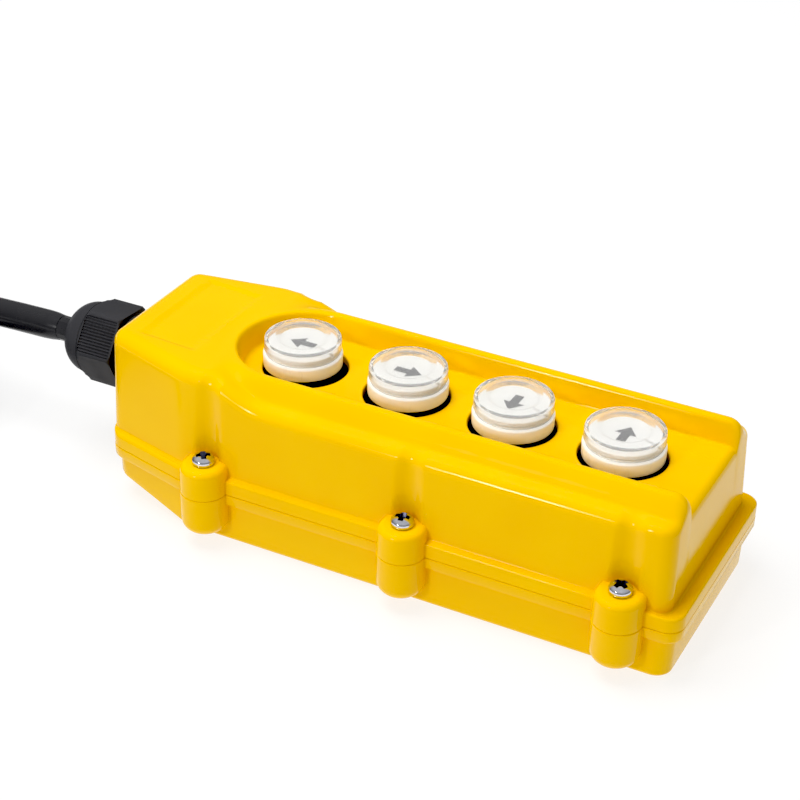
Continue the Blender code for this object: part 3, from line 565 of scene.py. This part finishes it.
def rear_levels():
    """The rear cover's outlines and heights, from the joint down to the back."""
    levels = [
        (outline(BELT_HALF - 0.05, FAR_END - 0.2, GLAND_END + 0.1, 5.8), REAR_JOINT),
        (outline(BELT_HALF + 0.15, FAR_END, GLAND_END, 6.0), REAR_JOINT - 0.2),
        (outline(BELT_HALF + 0.1, FAR_END, GLAND_END, 6.0), BELT_BOTTOM + 0.7),
        (outline(BELT_HALF, FAR_END, GLAND_END, 6.0, -0.2), BELT_BOTTOM + 0.2),
        (outline(BELT_HALF - 0.7, FAR_END - 0.7, GLAND_END + 0.4, 5.8), BELT_BOTTOM),
        (outline(39.6, 107.6, -110.7, REAR_CORNER), BELT_BOTTOM),
        (outline(39.3, 107.3, -110.5, REAR_CORNER), BELT_BOTTOM - 0.3),
        (outline(39.1, 107.1, -110.4, REAR_CORNER), REAR_SPLIT),
    ]
    for turn in np.radians(range(0, 91, 15)):
        inset, z = REAR_ROUND * (1 - math.cos(turn)), REAR_ROUND * (1 - math.sin(turn))
        levels.append((outline(REAR_HALF, REAR_FAR, REAR_GLAND, REAR_CORNER, -inset), z))
    return levels


def rear_surface():
    rows = row_lines()
    count = len(rows[0])
    rings = []
    for level, z in rear_levels():
        ends = outline_at(rows, grooves=False, **level)
        lift = np.maximum(0, BACK_LIFT_SLOPE * (BACK_LIFT_START - ends[:, 0]))
        height = np.full(count, z) + lift * np.clip((REAR_SPLIT - z) / REAR_SPLIT, 0, 1)
        rings.append(np.column_stack([ends, height]))
    points = [tuple(p) for ring in rings for p in ring]
    faces = []
    for level in range(len(rings) - 1):
        faces += band(level * count, (level + 1) * count, count)
    # The top and the back are closed by strips across, because the back isn't flat.
    for base in (0, (len(rings) - 1) * count):
        across = range(count // 2)
        strips = [(base + i, base + i + 1, base + count - 2 - i, base + count - 1 - i) for i in across]
        faces += [tuple(dict.fromkeys(strip)) for strip in strips]
    return points, [f for f in faces if len(f) > 2]


def build_rear_cover(finish):
    points, faces = rear_surface()
    cover = tidy(mesh_object("rear_shell", points, faces))
    round_foot = 4.6
    profile = [(0.05, REAR_JOINT), (-0.15, REAR_JOINT - 0.2), (0.1, BOSS_BOTTOM + round_foot)]
    for t in np.radians(range(10, 91, 10)):
        z = BOSS_BOTTOM + round_foot - round_foot * math.sin(t)
        profile.append((0.1 + round_foot - round_foot * math.cos(t), z))
    for _, screw, side in each_screw():
        boolean(cover, boss("boss", screw, side, profile), "UNION")
    cover.data.set_sharp_from_angle(angle=math.radians(COVER_SHARP_ANGLE))
    own(cover, "station", "yellow_housing", finish["yellow"], "rear_cover")


# ---------------------------------------------------------------- cord

# The run from the gland down onto the coil. TAIL is the free end that leaves it.
ROUTE = [
    (-153.65, 0.0, 41.5), (-165.0, 0.0, 41.2), (-176.0, 0.0, 40.8), (-188.0, 0.5, 40.0),
    (-200.0, 2.0, 38.7), (-212.0, 4.3, 36.9), (-223.0, 6.7, 34.9), (-234.0, 9.2, 32.8),
    (-245.0, 10.5, 31.0), (-255.6, 9.7, 29.7), (-266.1, 7.2, 28.8), (-276.1, 2.8, 28.3),
    (-285.3, -3.3, 28.1),
]
COIL_CENTRE = (-245.0, -45.0)
TURN_IN, TURN_OUT = 50.5, 61.5
LAYER_LOW, LAYER_HIGH = 5.5, 16.5
TAIL = [(-207.0, -106.6, 5.5), (-193.5, -106.3, 5.5), (-180.0, -104.1, 5.5)]
SQUEEZE_LENGTH = 5
CORD_SIDES, CORD_STEP = 28, 3.0


def coil_points():
    """Points round the coil, from where the run sinks into it to where the free end leaves.

    Each change of lane waits until the turn below or beside it has left that lane.
    """
    radius = curve_through([
        (90, 55.5), (190, TURN_OUT), (445, TURN_OUT), (595, TURN_IN), (990, TURN_IN), (1140, TURN_OUT),
        (1400, TURN_OUT),
    ])
    drop = curve_through([
        (134, -28.1), (160, -28.0), (250, -LAYER_HIGH), (750, -LAYER_HIGH), (825, -LAYER_LOW),
        (1400, -LAYER_LOW),
    ])
    made = []
    for angle in range(145, 1348, 6):
        r, z, turn = float(radius(angle)), -float(drop(angle)), math.radians(angle)
        made.append((COIL_CENTRE[0] + r * math.cos(turn), COIL_CENTRE[1] + r * math.sin(turn), z))
    return made


def tube_rings(points, radii):
    """Rings square to a path, turned no more than the path itself turns."""
    rings, normal = [], Vector((0.0, 0.0, 1.0))
    for i, (point, radius) in enumerate(zip(points, radii)):
        ahead = (points[min(i + 1, len(points) - 1)] - points[max(i - 1, 0)]).normalized()
        normal = (normal - ahead * normal.dot(ahead)).normalized()
        side = ahead.cross(normal)
        turns = [2 * math.pi * k / CORD_SIDES for k in range(CORD_SIDES)]
        rings.append([point + radius * (normal * math.cos(t) + side * math.sin(t)) for t in turns])
    return rings


def build_cord(finish):
    """The sheath: squeezed where it leaves the gland, then full all the way to its cut end."""
    points = smooth_line(ROUTE + coil_points() + TAIL, CORD_STEP)
    travelled = np.concatenate([[0], np.cumsum([(b - a).length for a, b in zip(points, points[1:])])])
    radii = CORD_RADIUS - (CORD_RADIUS - CORD_SQUEEZED) * (1 - ease(travelled / SQUEEZE_LENGTH))
    rings = tube_rings(points, [float(r) for r in radii])
    # The sheath's cut end is broken at its edge and stands a little proud of its filler.
    ahead = (points[-1] - points[-2]).normalized()
    last = points[-1]
    for back, radius in ((0.0, 5.2), (0.0, 4.3), (0.9, 4.2)):
        rings += tube_rings([last - ahead * (back + 1.0), last - ahead * back], [radius, radius])[1:]
    cord = loft("cord_sheath", rings, sharp=50.0)
    own(cord, "station", "cord_sheath", finish["sheath"], "cord_run", "cord_coil", "cord_end")


# ---------------------------------------------------------------- buttons

CUP_RADIUS, CUP_FOOT, CUP_TOP = 14.05, 55.1, 60.1
LEGEND_RADIUS, LEGEND_FOOT, LEGEND_TOP = 12.4, 61.4, 62.75
LENS_RADIUS, LENS_FOOT, LENS_UNDER, LENS_TOP = 13.78, 60.3, 64.35, 66.0
DISH_FLOOR = 65.1
STEM_RADIUS, STEM_FOOT, STEM_TOP = 5.0, 48.8, 57.3
ARROW_TURNS = (180, 0, 270, 90)
ARROW_REACH, ARROW_HEAD, ARROW_HALF, ARROW_STEM = 5.1, 5.0, 3.85, 1.6
ARROW_GAP, ARROW_THICK = 0.01, 0.05


def button_place(number):
    return (HOLE_XS[number] + PLAY_ALONG[number], 0.0, PLAY_OUT[number])


def build_cup(label, centre):
    """The cream cup, with a raised seat inside for the legend plate."""
    side = [(12.4, STEM_TOP - 0.4), (12.9, CUP_FOOT), (CUP_RADIUS, CUP_FOOT), (CUP_RADIUS + 0.1, CUP_TOP)]
    side = rounded(side + [(12.6, CUP_TOP)], [0.3, 0.5, 0.65])
    seat = LEGEND_FOOT - 0.1
    inside_rim = [(12.4, CUP_TOP + 0.1), (12.4, seat - 0.3), (12.1, seat), (0.0, seat)]
    return turned(f"button_cap_{label}", [(0.0, STEM_TOP), *side, *inside_rim], centre, count=128)


def build_stem(label, centre):
    """The black stem under the cup, which runs through the boot."""
    profile = [(0.0, STEM_FOOT), (STEM_RADIUS - 0.3, STEM_FOOT), (STEM_RADIUS, STEM_FOOT + 0.3)]
    profile += [(STEM_RADIUS, STEM_TOP), (0.0, STEM_TOP)]
    return turned(f"button_stem_{label}", profile, centre, count=48)


def build_clear_lens(label, centre):
    """The clear cap: a dished top, a rounded rim and a skirt with one fine step."""
    under = [(0.0, LENS_UNDER), (12.2, LENS_UNDER), (12.5, LENS_UNDER - 0.3), (12.55, LENS_FOOT)]
    skirt = [(13.1, LENS_FOOT), (13.25, LENS_FOOT + 0.15), (13.3, LENS_FOOT + 1.0)]
    skirt += [(13.65, LENS_FOOT + 1.3), (LENS_RADIUS, LENS_FOOT + 1.6)]
    top = [(13.65, LENS_TOP), (9.8, LENS_TOP), (7.9, DISH_FLOOR + 0.05), (0.0, DISH_FLOOR)]
    rim = rounded([skirt[-1]] + top, [1.1, 1.6, 1.6], 6)
    return turned(f"button_lens_cap_{label}", under + skirt + rim[1:], centre, count=128)


def build_insert(label, centre):
    """The legend plate, with a notch in its rim that keys it to its cap."""
    profile = [(0.0, LEGEND_FOOT), (LEGEND_RADIUS, LEGEND_FOOT), (LEGEND_RADIUS, LEGEND_TOP - 0.25)]
    profile += [(LEGEND_RADIUS - 0.25, LEGEND_TOP), (0.0, LEGEND_TOP)]
    plate = turned(f"button_legend_{label}", profile, centre, count=128)
    x, y, z = centre
    low, high = (x + 11.6, y - 2.2, z + LEGEND_FOOT + 0.5), (x + 13.0, y - 0.9, z + LEGEND_TOP + 0.75)
    boolean(plate, box_cutter("notch", low, high), "DIFFERENCE")
    return plate


def turn_and_place(outline, degrees, x, y, z):
    """A flat outline turned about its own origin and put at a place."""
    c, s = math.cos(math.radians(degrees)), math.sin(math.radians(degrees))
    return [(x + a * c - b * s, y + a * s + b * c, z) for a, b in outline]


def build_arrow(label, centre, degrees):
    """A printed block arrow, pointing along +X before it's turned."""
    neck = ARROW_REACH - ARROW_HEAD
    outline = [(ARROW_REACH, 0.0), (neck, ARROW_HALF), (neck, ARROW_STEM), (-ARROW_REACH, ARROW_STEM)]
    outline += [(x, -y) for x, y in outline[:0:-1]]
    x, y, z = centre
    low = z + LEGEND_TOP + ARROW_GAP
    rings = [turn_and_place(outline, degrees, x, y, height) for height in (low, low + ARROW_THICK)]
    return loft(f"button_arrow_{label}", rings)


def build_boot(label, x):
    """The rubber boot under the hole, with a rolled convolution round the stem."""
    foot = (5.6, 49.3)
    corners = [
        foot, (18.2, 49.3), (18.2, 51.8), (16.0, 51.8), (15.2, 50.5), (12.6, 50.4), (11.4, 51.9),
        (9.6, 51.9), (8.4, 50.4), (5.6, 50.4),
    ]
    profile = rounded(corners, 0.5, 3) + [foot]
    return turned(f"button_seal_{label}", profile, (x, 0.0, 0.0), closed=True)


def build_button(label, centre, degrees, finish):
    body = f"button_{label}"
    own(build_cup(label, centre), body, "cream_plastic", finish["cream"], f"button_cup_{label}")
    own(build_stem(label, centre), body, "black_plastic", finish["plastic"])
    own(build_clear_lens(label, centre), body, "clear_lens", finish["clear"], f"button_lens_{label}")
    own(build_insert(label, centre), body, "white_legend", finish["white"], f"button_insert_{label}")
    own(build_arrow(label, centre, degrees), body, None, finish["print"])
    boot = build_boot(label, centre[0])
    own(boot, "station", "black_rubber", finish["rubber"], f"button_boot_{label}")


def build_buttons(finish):
    for number, degrees in enumerate(ARROW_TURNS):
        build_button(number + 1, button_place(number), degrees, finish)


# ---------------------------------------------------------------- screws

CROSS_TURNS = (38, 8, 62, 20, 50, 75)
SEAT = BOSS_TOP + 0.15
SHANK_RADIUS, SHANK_LENGTH = 1.9, 14
HEAD_RADIUS, HEAD_SIDE, HEAD_DOME = 4.0, 1.2, 2.2
RECESS_REACH = 3.2


def build_cover_screws(finish):
    """Pan heads with a cross recess, each left at its own angle."""
    profile = [(0.0, SEAT - SHANK_LENGTH), (SHANK_RADIUS, SEAT - SHANK_LENGTH), (SHANK_RADIUS, SEAT)]
    profile += [(HEAD_RADIUS - 0.25, SEAT), (HEAD_RADIUS, SEAT + 0.25), (HEAD_RADIUS, SEAT + HEAD_SIDE)]
    for t in np.radians([12, 24, 36, 48, 60, 72, 82, 90]):
        profile.append((HEAD_RADIUS * math.cos(t), SEAT + HEAD_SIDE + HEAD_DOME * math.sin(t)))
    for number, screw, side in each_screw():
        place = (screw, side * SCREW_Y, 0.0)
        made = turned(f"pan_screw_{number}", profile, place, count=72)
        for quarter in (0, 90):
            boolean(made, cross_wing(place, CROSS_TURNS[number - 1] + quarter), "DIFFERENCE")
        tip = turned("tip", [(0.6, SEAT + 0.5), (1.9, SEAT + 3.9)], place, count=24)
        boolean(made, tip, "DIFFERENCE")
        made.data.set_sharp_from_angle(angle=math.radians(30))
        own(made, "station", "bright_zinc", finish["chrome"], f"cover_screw_{number}")
        # The cross recess gets a darker metal: painted shade, since the real recess is plated like the head.
        paint_recess_shade(made, place, finish["recess"])


def cross_wing(place, degrees):
    """One bar of the cross: a slot that narrows towards its bottom."""
    rings = []
    for long, wide, z in ((1.3, 0.65, SEAT + 0.7), (3.0, 1.0, SEAT + 3.8)):
        corners = [(-long, -wide), (long, -wide), (long, wide), (-long, wide)]
        rings.append(turn_and_place(corners, degrees, place[0], place[1], z))
    return loft("wing", rings)


def paint_recess_shade(screw, place, material):
    """Gives the faces below the dome's surface a darker metal of their own: painted shade in the cross
    recess.
    """
    screw.data.materials.append(material)
    for face in screw.data.polygons:
        across = math.hypot(face.center.x / MM - place[0], face.center.y / MM - place[1])
        dome = SEAT + HEAD_SIDE + HEAD_DOME * math.sqrt(max(1 - (across / HEAD_RADIUS) ** 2, 0.0))
        below = SEAT + 0.4 < face.center.z / MM < dome - 0.08
        face.material_index = int(across < RECESS_REACH and below)


# ---------------------------------------------------------------- cable gland

NUT_FLATS, NUT_CORNERS, NUT_CORNER_TURN = 27.65, 15.85, 55.0
NUT_BACK, NUT_FRONT, DOME_BACK, NUT_MOUTH = -122.3, -137.9, -138.5, -147.9
DOME_RADIUS, DOME_REACH, DOME_STEPS = 13.6, 10.8, 14
RIB_COUNT, RIB_DEPTH, RIB_HALF_WIDTH = 12, 0.6, 7.1
NUT_STEPS = 432
BODY_BORE, BODY_THREAD, BODY_FLANGE = 6.4, 11.9, 15.2


def nut_ring(x, limit, flats=True, ribs=0.0):
    """A ring of the nut: a hexagon cut back to a circle, with fine ribs on every other flat."""
    ring = []
    for i in range(NUT_STEPS):
        share = i / NUT_STEPS * 6
        off = (share % 1 - 0.5) * math.pi / 3
        reach = limit
        if flats:
            reach = min(NUT_FLATS / 2 / math.cos(off), limit)
            along = NUT_FLATS / 2 * math.tan(off)
            if int(share) % 2 == 1 and abs(along) < RIB_HALF_WIDTH:
                wave = math.cos(math.pi * RIB_COUNT * along / RIB_HALF_WIDTH)
                reach -= ribs * RIB_DEPTH * (0.5 + 0.5 * wave) ** 0.7
        turn = math.radians(NUT_CORNER_TURN) + 2 * math.pi * i / NUT_STEPS
        ring.append((x, reach * math.cos(turn), GLAND_Z + reach * math.sin(turn)))
    return ring


def build_gland_nut(finish):
    """The sealing nut: a recessed back, a ribbed hexagon, a thin bead and a dome down to the cord."""
    rings = [nut_ring(-118.6, 11.3, False), nut_ring(-118.6, 12.4, False)]
    rings += [nut_ring(NUT_BACK + 0.3, 12.6, False), nut_ring(NUT_BACK, 13.2, False)]
    for along, limit in ((0, 14.9), (0.35, 15.4), (0.8, 15.8)):
        rings.append(nut_ring(NUT_BACK - along, limit))
    rings.append(nut_ring(NUT_BACK - 1.0, NUT_CORNERS, ribs=1.0))
    rings += [nut_ring(NUT_FRONT + 2.4, 15.8, ribs=1.0), nut_ring(NUT_FRONT + 1.0, 14.75, ribs=1.0)]
    for along, limit in ((0.9, 14.65), (0.4, 14.2), (0, 13.75)):
        rings.append(nut_ring(NUT_FRONT + along, limit))
    for along, radius in ((0.05, 13.85), (0.2, 13.95), (0.35, 13.9), (0.5, 13.75), (0.6, DOME_RADIUS)):
        rings.append(nut_ring(NUT_FRONT - along, radius, False))
    for step in range(1, DOME_STEPS + 1):
        along = (DOME_BACK - NUT_MOUTH) * step / DOME_STEPS
        radius = DOME_RADIUS * math.sqrt(1 - (along / DOME_REACH) ** 2)
        rings.append(nut_ring(DOME_BACK - along, radius, False))
    # Back inside: past the cord, out round the seal and along the thread
    rings += [nut_ring(NUT_MOUTH + 0.05, 6.3, False), nut_ring(NUT_MOUTH + 0.4, 5.9, False)]
    rings += [nut_ring(-145.6, 5.75, False), nut_ring(-144.3, 9.8, False), nut_ring(-136, 11.3, False)]
    nut = loft("gland_cap_nut", rings, closed=True, sharp=38.0)
    own(nut, "station", "black_nylon", finish["nylon"], "gland_nut")


def build_gland_body(finish):
    """The threaded body with its flange, and the washer between the flange and the wall."""
    flange = WALL_GLAND - 1.8
    profile = [(BODY_BORE, -134.5), (10.8, -134.5), (10.8, -117.9), (11.2, -117.6), (14.9, -117.6)]
    profile += [(BODY_FLANGE, -117.3), (BODY_FLANGE, flange - 0.3), (14.9, flange), (BODY_THREAD, flange)]
    profile += [(BODY_THREAD, -97.0), (BODY_BORE, -97.0), (BODY_BORE, -134.5)]
    body = turned("gland_barrel", profile, (0.0, 0.0, GLAND_Z), axis="X", closed=True)
    own(body, "station", "black_nylon", finish["nylon"], "gland_body")
    back, front = WALL_GLAND - 0.1, WALL_GLAND - 1.5
    profile = [(12.2, front), (14.2, front), (14.6, front + 0.4), (14.6, back), (12.2, back), (12.2, front)]
    washer = turned("gland_seal_washer", profile, (0.0, 0.0, GLAND_Z), axis="X", closed=True)
    own(washer, "station", "black_rubber", finish["rubber"], "gland_washer")


# ---------------------------------------------------------------- materials

def make_material(name, colour, roughness, metallic=0.0, **sockets):
    made = bpy.data.materials.new(name)
    made.use_nodes = True
    shader = made.node_tree.nodes["Principled BSDF"]
    shader.inputs["Base Color"].default_value = (*colour, 1.0)
    shader.inputs["Roughness"].default_value = roughness
    shader.inputs["Metallic"].default_value = metallic
    for socket, value in sockets.items():
        shader.inputs[socket.replace("_", " ")].default_value = value
    return made


def noise(tree, scale, detail=3.0, stretch=(1.0, 1.0, 1.0)):
    """A noise in object space, with its scale in cells to a metre."""
    place = tree.nodes.new("ShaderNodeTexCoord")
    mapping = tree.nodes.new("ShaderNodeMapping")
    mapping.inputs["Scale"].default_value = stretch
    texture = tree.nodes.new("ShaderNodeTexNoise")
    texture.inputs["Scale"].default_value = scale
    texture.inputs["Detail"].default_value = detail
    tree.links.new(place.outputs["Object"], mapping.inputs["Vector"])
    tree.links.new(mapping.outputs["Vector"], texture.inputs["Vector"])
    return texture.outputs["Fac"]


def spread(tree, source, low, high, low_in=0.3, high_in=0.7):
    """A value from low to high as the source goes from low_in to high_in."""
    node = tree.nodes.new("ShaderNodeMapRange")
    node.inputs["From Min"].default_value = low_in
    node.inputs["From Max"].default_value = high_in
    node.inputs["To Min"].default_value = low
    node.inputs["To Max"].default_value = high
    tree.links.new(source, node.inputs["Value"])
    return node.outputs["Result"]


def vary_colour(tree, factor, first, second):
    mix = tree.nodes.new("ShaderNodeMix")
    mix.data_type = "RGBA"
    mix.inputs["A"].default_value = (*first, 1.0)
    mix.inputs["B"].default_value = (*second, 1.0)
    tree.links.new(factor, mix.inputs["Factor"])
    tree.links.new(mix.outputs["Result"], tree.nodes["Principled BSDF"].inputs["Base Color"])


def add_bump(tree, source, height, strength=1.0, under=None):
    """A bump whose height is in millimetres, over another one if given."""
    bump = tree.nodes.new("ShaderNodeBump")
    bump.inputs["Distance"].default_value = height * MM
    bump.inputs["Strength"].default_value = strength
    tree.links.new(source, bump.inputs["Height"])
    if under:
        tree.links.new(under, bump.inputs["Normal"])
    return bump.outputs["Normal"]


def moulded(name, colour, other, roughness, change, grain, grain_height, wave, wave_height, **sockets):
    """A moulded plastic: slow colour change, uneven gloss, slight waviness and a fine grain."""
    made = make_material(name, colour, roughness, **sockets)
    tree = made.node_tree
    shader = tree.nodes["Principled BSDF"]
    vary_colour(tree, spread(tree, noise(tree, 34, 2.0), 0.0, 1.0), colour, other)
    smears = noise(tree, 160, 6.0, (1.0, 1.0, 0.4))
    tree.links.new(spread(tree, smears, roughness - change, roughness + change), shader.inputs["Roughness"])
    slow = add_bump(tree, noise(tree, wave, 1.0), wave_height)
    fine = add_bump(tree, noise(tree, grain, 4.0), grain_height, under=slow)
    tree.links.new(fine, shader.inputs["Normal"])
    return made


def lamps_through(made):
    """Lets the lamps' light straight through a clear material, so that what is behind it is lit."""
    tree = made.node_tree
    path = tree.nodes.new("ShaderNodeLightPath")
    clear = tree.nodes.new("ShaderNodeBsdfTransparent")
    clear.inputs["Color"].default_value = (0.94, 0.94, 0.93, 1.0)
    mix = tree.nodes.new("ShaderNodeMixShader")
    tree.links.new(path.outputs["Is Shadow Ray"], mix.inputs["Fac"])
    tree.links.new(tree.nodes["Principled BSDF"].outputs["BSDF"], mix.inputs[1])
    tree.links.new(clear.outputs["BSDF"], mix.inputs[2])
    tree.links.new(mix.outputs["Shader"], tree.nodes["Material Output"].inputs["Surface"])
    return made


def turned_metal(name, colour, roughness, streaks):
    """Plated metal with tiny scratches and a cloudy plating."""
    made = make_material(name, colour, roughness, metallic=1.0)
    tree = made.node_tree
    shader = tree.nodes["Principled BSDF"]
    darker = tuple(0.72 * c for c in colour)
    vary_colour(tree, spread(tree, noise(tree, 700, 5.0), 0.0, 0.6), colour, darker)
    scratches = noise(tree, 1500, 6.0, (1.0, 6.0, 1.0))
    tree.links.new(spread(tree, scratches, roughness * 0.7, roughness * 1.6), shader.inputs["Roughness"])
    tree.links.new(add_bump(tree, scratches, streaks), shader.inputs["Normal"])
    return made


def core_finish(name, colour):
    darker = tuple(0.7 * c for c in colour)
    return moulded(name, colour, darker, 0.42, 0.08, 900, 0.01, 300, 0.03)


YELLOW, DEEP_YELLOW = (0.96, 0.58, 0.0012), (0.94, 0.545, 0.001)
# Brown, black, grey, blue, green
CORE_COLOURS = [
    (0.16, 0.05, 0.02), (0.015, 0.015, 0.015), (0.25, 0.25, 0.26), (0.02, 0.10, 0.45), (0.15, 0.45, 0.05),
]


def make_finishes():
    return {
        "yellow": moulded(
            "yellow_abs", YELLOW, DEEP_YELLOW, 0.14, 0.03, 1400, 0.0011, 90, 0.006, IOR=1.52,
            Specular_IOR_Level=0.2,
        ),
        "cream": moulded(
            "cream_plastic", (0.97, 0.95, 0.89), (0.95, 0.92, 0.85), 0.3, 0.05, 1600, 0.002, 200, 0.004,
            Subsurface_Weight=0.5, Subsurface_Scale=0.005, Subsurface_Radius=(1.0, 0.9, 0.8),
        ),
        "white": moulded(
            "white_legend", (0.86, 0.86, 0.85), (0.83, 0.83, 0.815), 0.45, 0.05, 1800, 0.002, 150, 0.002,
        ),
        "print": moulded(
            "grey_print", (0.03, 0.03, 0.036), (0.045, 0.045, 0.055), 0.5, 0.06, 2200, 0.003, 300, 0.002,
        ),
        "clear": lamps_through(moulded(
            "clear_polycarbonate", (0.985, 0.985, 0.98), (0.97, 0.97, 0.96), 0.16, 0.03, 900, 0.0006, 120,
            0.002, Transmission_Weight=0.9, IOR=1.3,
        )),
        "nylon": moulded(
            "black_nylon", (0.046, 0.046, 0.050), (0.055, 0.055, 0.060), 0.5, 0.07, 1500, 0.006, 180, 0.01,
            Specular_IOR_Level=0.12,
        ),
        "plastic": moulded(
            "black_plastic", (0.02, 0.02, 0.021), (0.03, 0.03, 0.03), 0.4, 0.08, 1200, 0.008, 150, 0.01,
        ),
        "rubber": moulded(
            "black_rubber", (0.01, 0.01, 0.01), (0.016, 0.016, 0.016), 0.7, 0.1, 1500, 0.02, 200, 0.02,
        ),
        "sheath": moulded(
            "cord_pvc", (0.022, 0.022, 0.025), (0.028, 0.028, 0.031), 0.25, 0.08, 1300, 0.004, 130, 0.05,
            Specular_IOR_Level=0.35,
        ),
        "chrome": turned_metal("chromed_steel", (0.74, 0.76, 0.84), 0.1, 0.0006),
        # Painted shade for the screws' cross recesses: a darker, bluer copy of the chrome plating.
        "recess": turned_metal("screw_recess_shade", (0.17, 0.18, 0.27), 0.3, 0.002),
        "zinc": turned_metal("zinc_plate", (0.70, 0.71, 0.74), 0.25, 0.002),
        "steel": turned_metal("spring_steel", (0.56, 0.57, 0.58), 0.3, 0.002),
        "brass": turned_metal("brass", (0.75, 0.55, 0.24), 0.28, 0.002),
        "cores": [core_finish(f"core_insulation_{i + 1}", colour) for i, colour in enumerate(CORE_COLOURS)],
    }


def paint_frame(finish):
    """Finishes for the CAD pieces that stay as they are, most of them inside the housing."""
    inside = {"mounting_plate": "zinc", "gland_locknut": "nylon", "gland_seal": "rubber"}
    inside |= {"cord_inner": "sheath", "housing_gasket": "rubber"}
    for i in range(1, 5):
        inside[f"plate_screw_{i}"] = "zinc"
        inside[f"button_plunger_{i}"] = "plastic"
        inside[f"contact_block_{i}"] = "plastic"
        inside[f"contact_bridge_{i}"] = "brass"
        inside[f"return_spring_{i}"] = "steel"
    pairs = [(node, finish[name]) for node, name in inside.items()]
    pairs += [(f"cord_core_{i + 1}", finish["cores"][i]) for i in range(5)]
    for node, material in pairs:
        for place in frame["nodes"][node].material_slots:
            place.material = material


# ---------------------------------------------------------------- stage

# In metres and degrees, but the floor in millimetres as every mesh is
CAMERA_PLACE, CAMERA_TURN = (0.244177, -0.514904, 0.395497), (59.0839, -1.3093, 27.113)
CAMERA_LENS = 86.69
FLOOR_HALF, FLOOR_GLOW = 6000.0, 0.79
NEAR_EDGE = (0.048, -0.037, 0.054)
KEY_WAY, OVERHEAD_WAY = (-0.317, -0.86, 0.40), (-0.317, -0.02, 0.948)
BLACK_LEVEL = 0.021


def build_camera():
    data = bpy.data.cameras.new("camera")
    data.lens = CAMERA_LENS
    data.sensor_width = 36.0
    camera = bpy.data.objects.new("camera", data)
    camera.location = CAMERA_PLACE
    camera.rotation_euler = [math.radians(a) for a in CAMERA_TURN]
    bpy.context.scene.collection.objects.link(camera)
    bpy.context.scene.camera = camera


def build_floor():
    """A white table, which glows a little as a lit sweep does."""
    half = FLOOR_HALF
    corners = [(-half, -half, 0), (half, -half, 0), (half, half, 0), (-half, half, 0)]
    floor = mesh_object("floor", corners, [(0, 1, 2, 3)])
    glow = dict(Emission_Color=(1, 1, 1, 1), Emission_Strength=FLOOR_GLOW)
    made = make_material("floor", (0.2, 0.2, 0.2), 0.7, **glow)
    paint(floor, made)


def build_world():
    """Soft light from all round, strongest overhead, in front of a white backdrop."""
    world = bpy.data.worlds.new("studio")
    bpy.context.scene.world = world
    world.use_nodes = True
    tree = world.node_tree
    background = tree.nodes["Background"]
    background.inputs["Color"].default_value = (1, 1, 1, 1)
    place = tree.nodes.new("ShaderNodeTexCoord")
    split = tree.nodes.new("ShaderNodeSeparateXYZ")
    tree.links.new(place.outputs["Generated"], split.inputs["Vector"])
    strength = spread(tree, split.outputs["Z"], 0.1, 0.6, 0.0, 0.75)
    tree.links.new(strength, background.inputs["Strength"])
    white = tree.nodes.new("ShaderNodeBackground")
    white.inputs["Color"].default_value = (1, 1, 1, 1)
    path = tree.nodes.new("ShaderNodeLightPath")
    mix = tree.nodes.new("ShaderNodeMixShader")
    tree.links.new(path.outputs["Is Camera Ray"], mix.inputs["Fac"])
    tree.links.new(background.outputs["Background"], mix.inputs[1])
    tree.links.new(white.outputs["Background"], mix.inputs[2])
    tree.links.new(mix.outputs["Shader"], tree.nodes["World Output"].inputs["Surface"])


def area_light(name, direction, distance, target, size, radiance):
    """A softbox in one direction from a target, as bright as radiance whatever its size."""
    data = bpy.data.lights.new(name, "AREA")
    data.shape = "RECTANGLE"
    data.size, data.size_y = size
    data.energy = radiance * math.pi * size[0] * size[1]
    light = bpy.data.objects.new(name, data)
    away = Vector(direction).normalized()
    light.location = Vector(target) + away * distance
    light.rotation_euler = (-away).to_track_quat("-Z", "Y").to_euler()
    light.visible_transmission = False
    bpy.context.scene.collection.objects.link(light)
    return light


def build_lights():
    """A small key, which leaves the highlights, and a broad overhead, which leaves none."""
    area_light("key", KEY_WAY, 1.3, NEAR_EDGE, (0.11, 0.15), 62.0)
    overhead = area_light("overhead", OVERHEAD_WAY, 1.5, NEAR_EDGE, (0.9, 0.9), 6.3)
    overhead.visible_glossy = False


def main():
    view = bpy.context.scene.view_settings
    view.view_transform = "Standard"
    view.use_curve_mapping = True
    view.curve_mapping.black_level = (BLACK_LEVEL, BLACK_LEVEL, BLACK_LEVEL)
    view.curve_mapping.update()
    build_camera()
    build_floor()
    build_world()
    build_lights()
    finish = make_finishes()
    build_front_cover(finish)
    build_rear_cover(finish)
    build_buttons(finish)
    build_cover_screws(finish)
    build_gland_nut(finish)
    build_gland_body(finish)
    build_cord(finish)
    paint_frame(finish)


main()
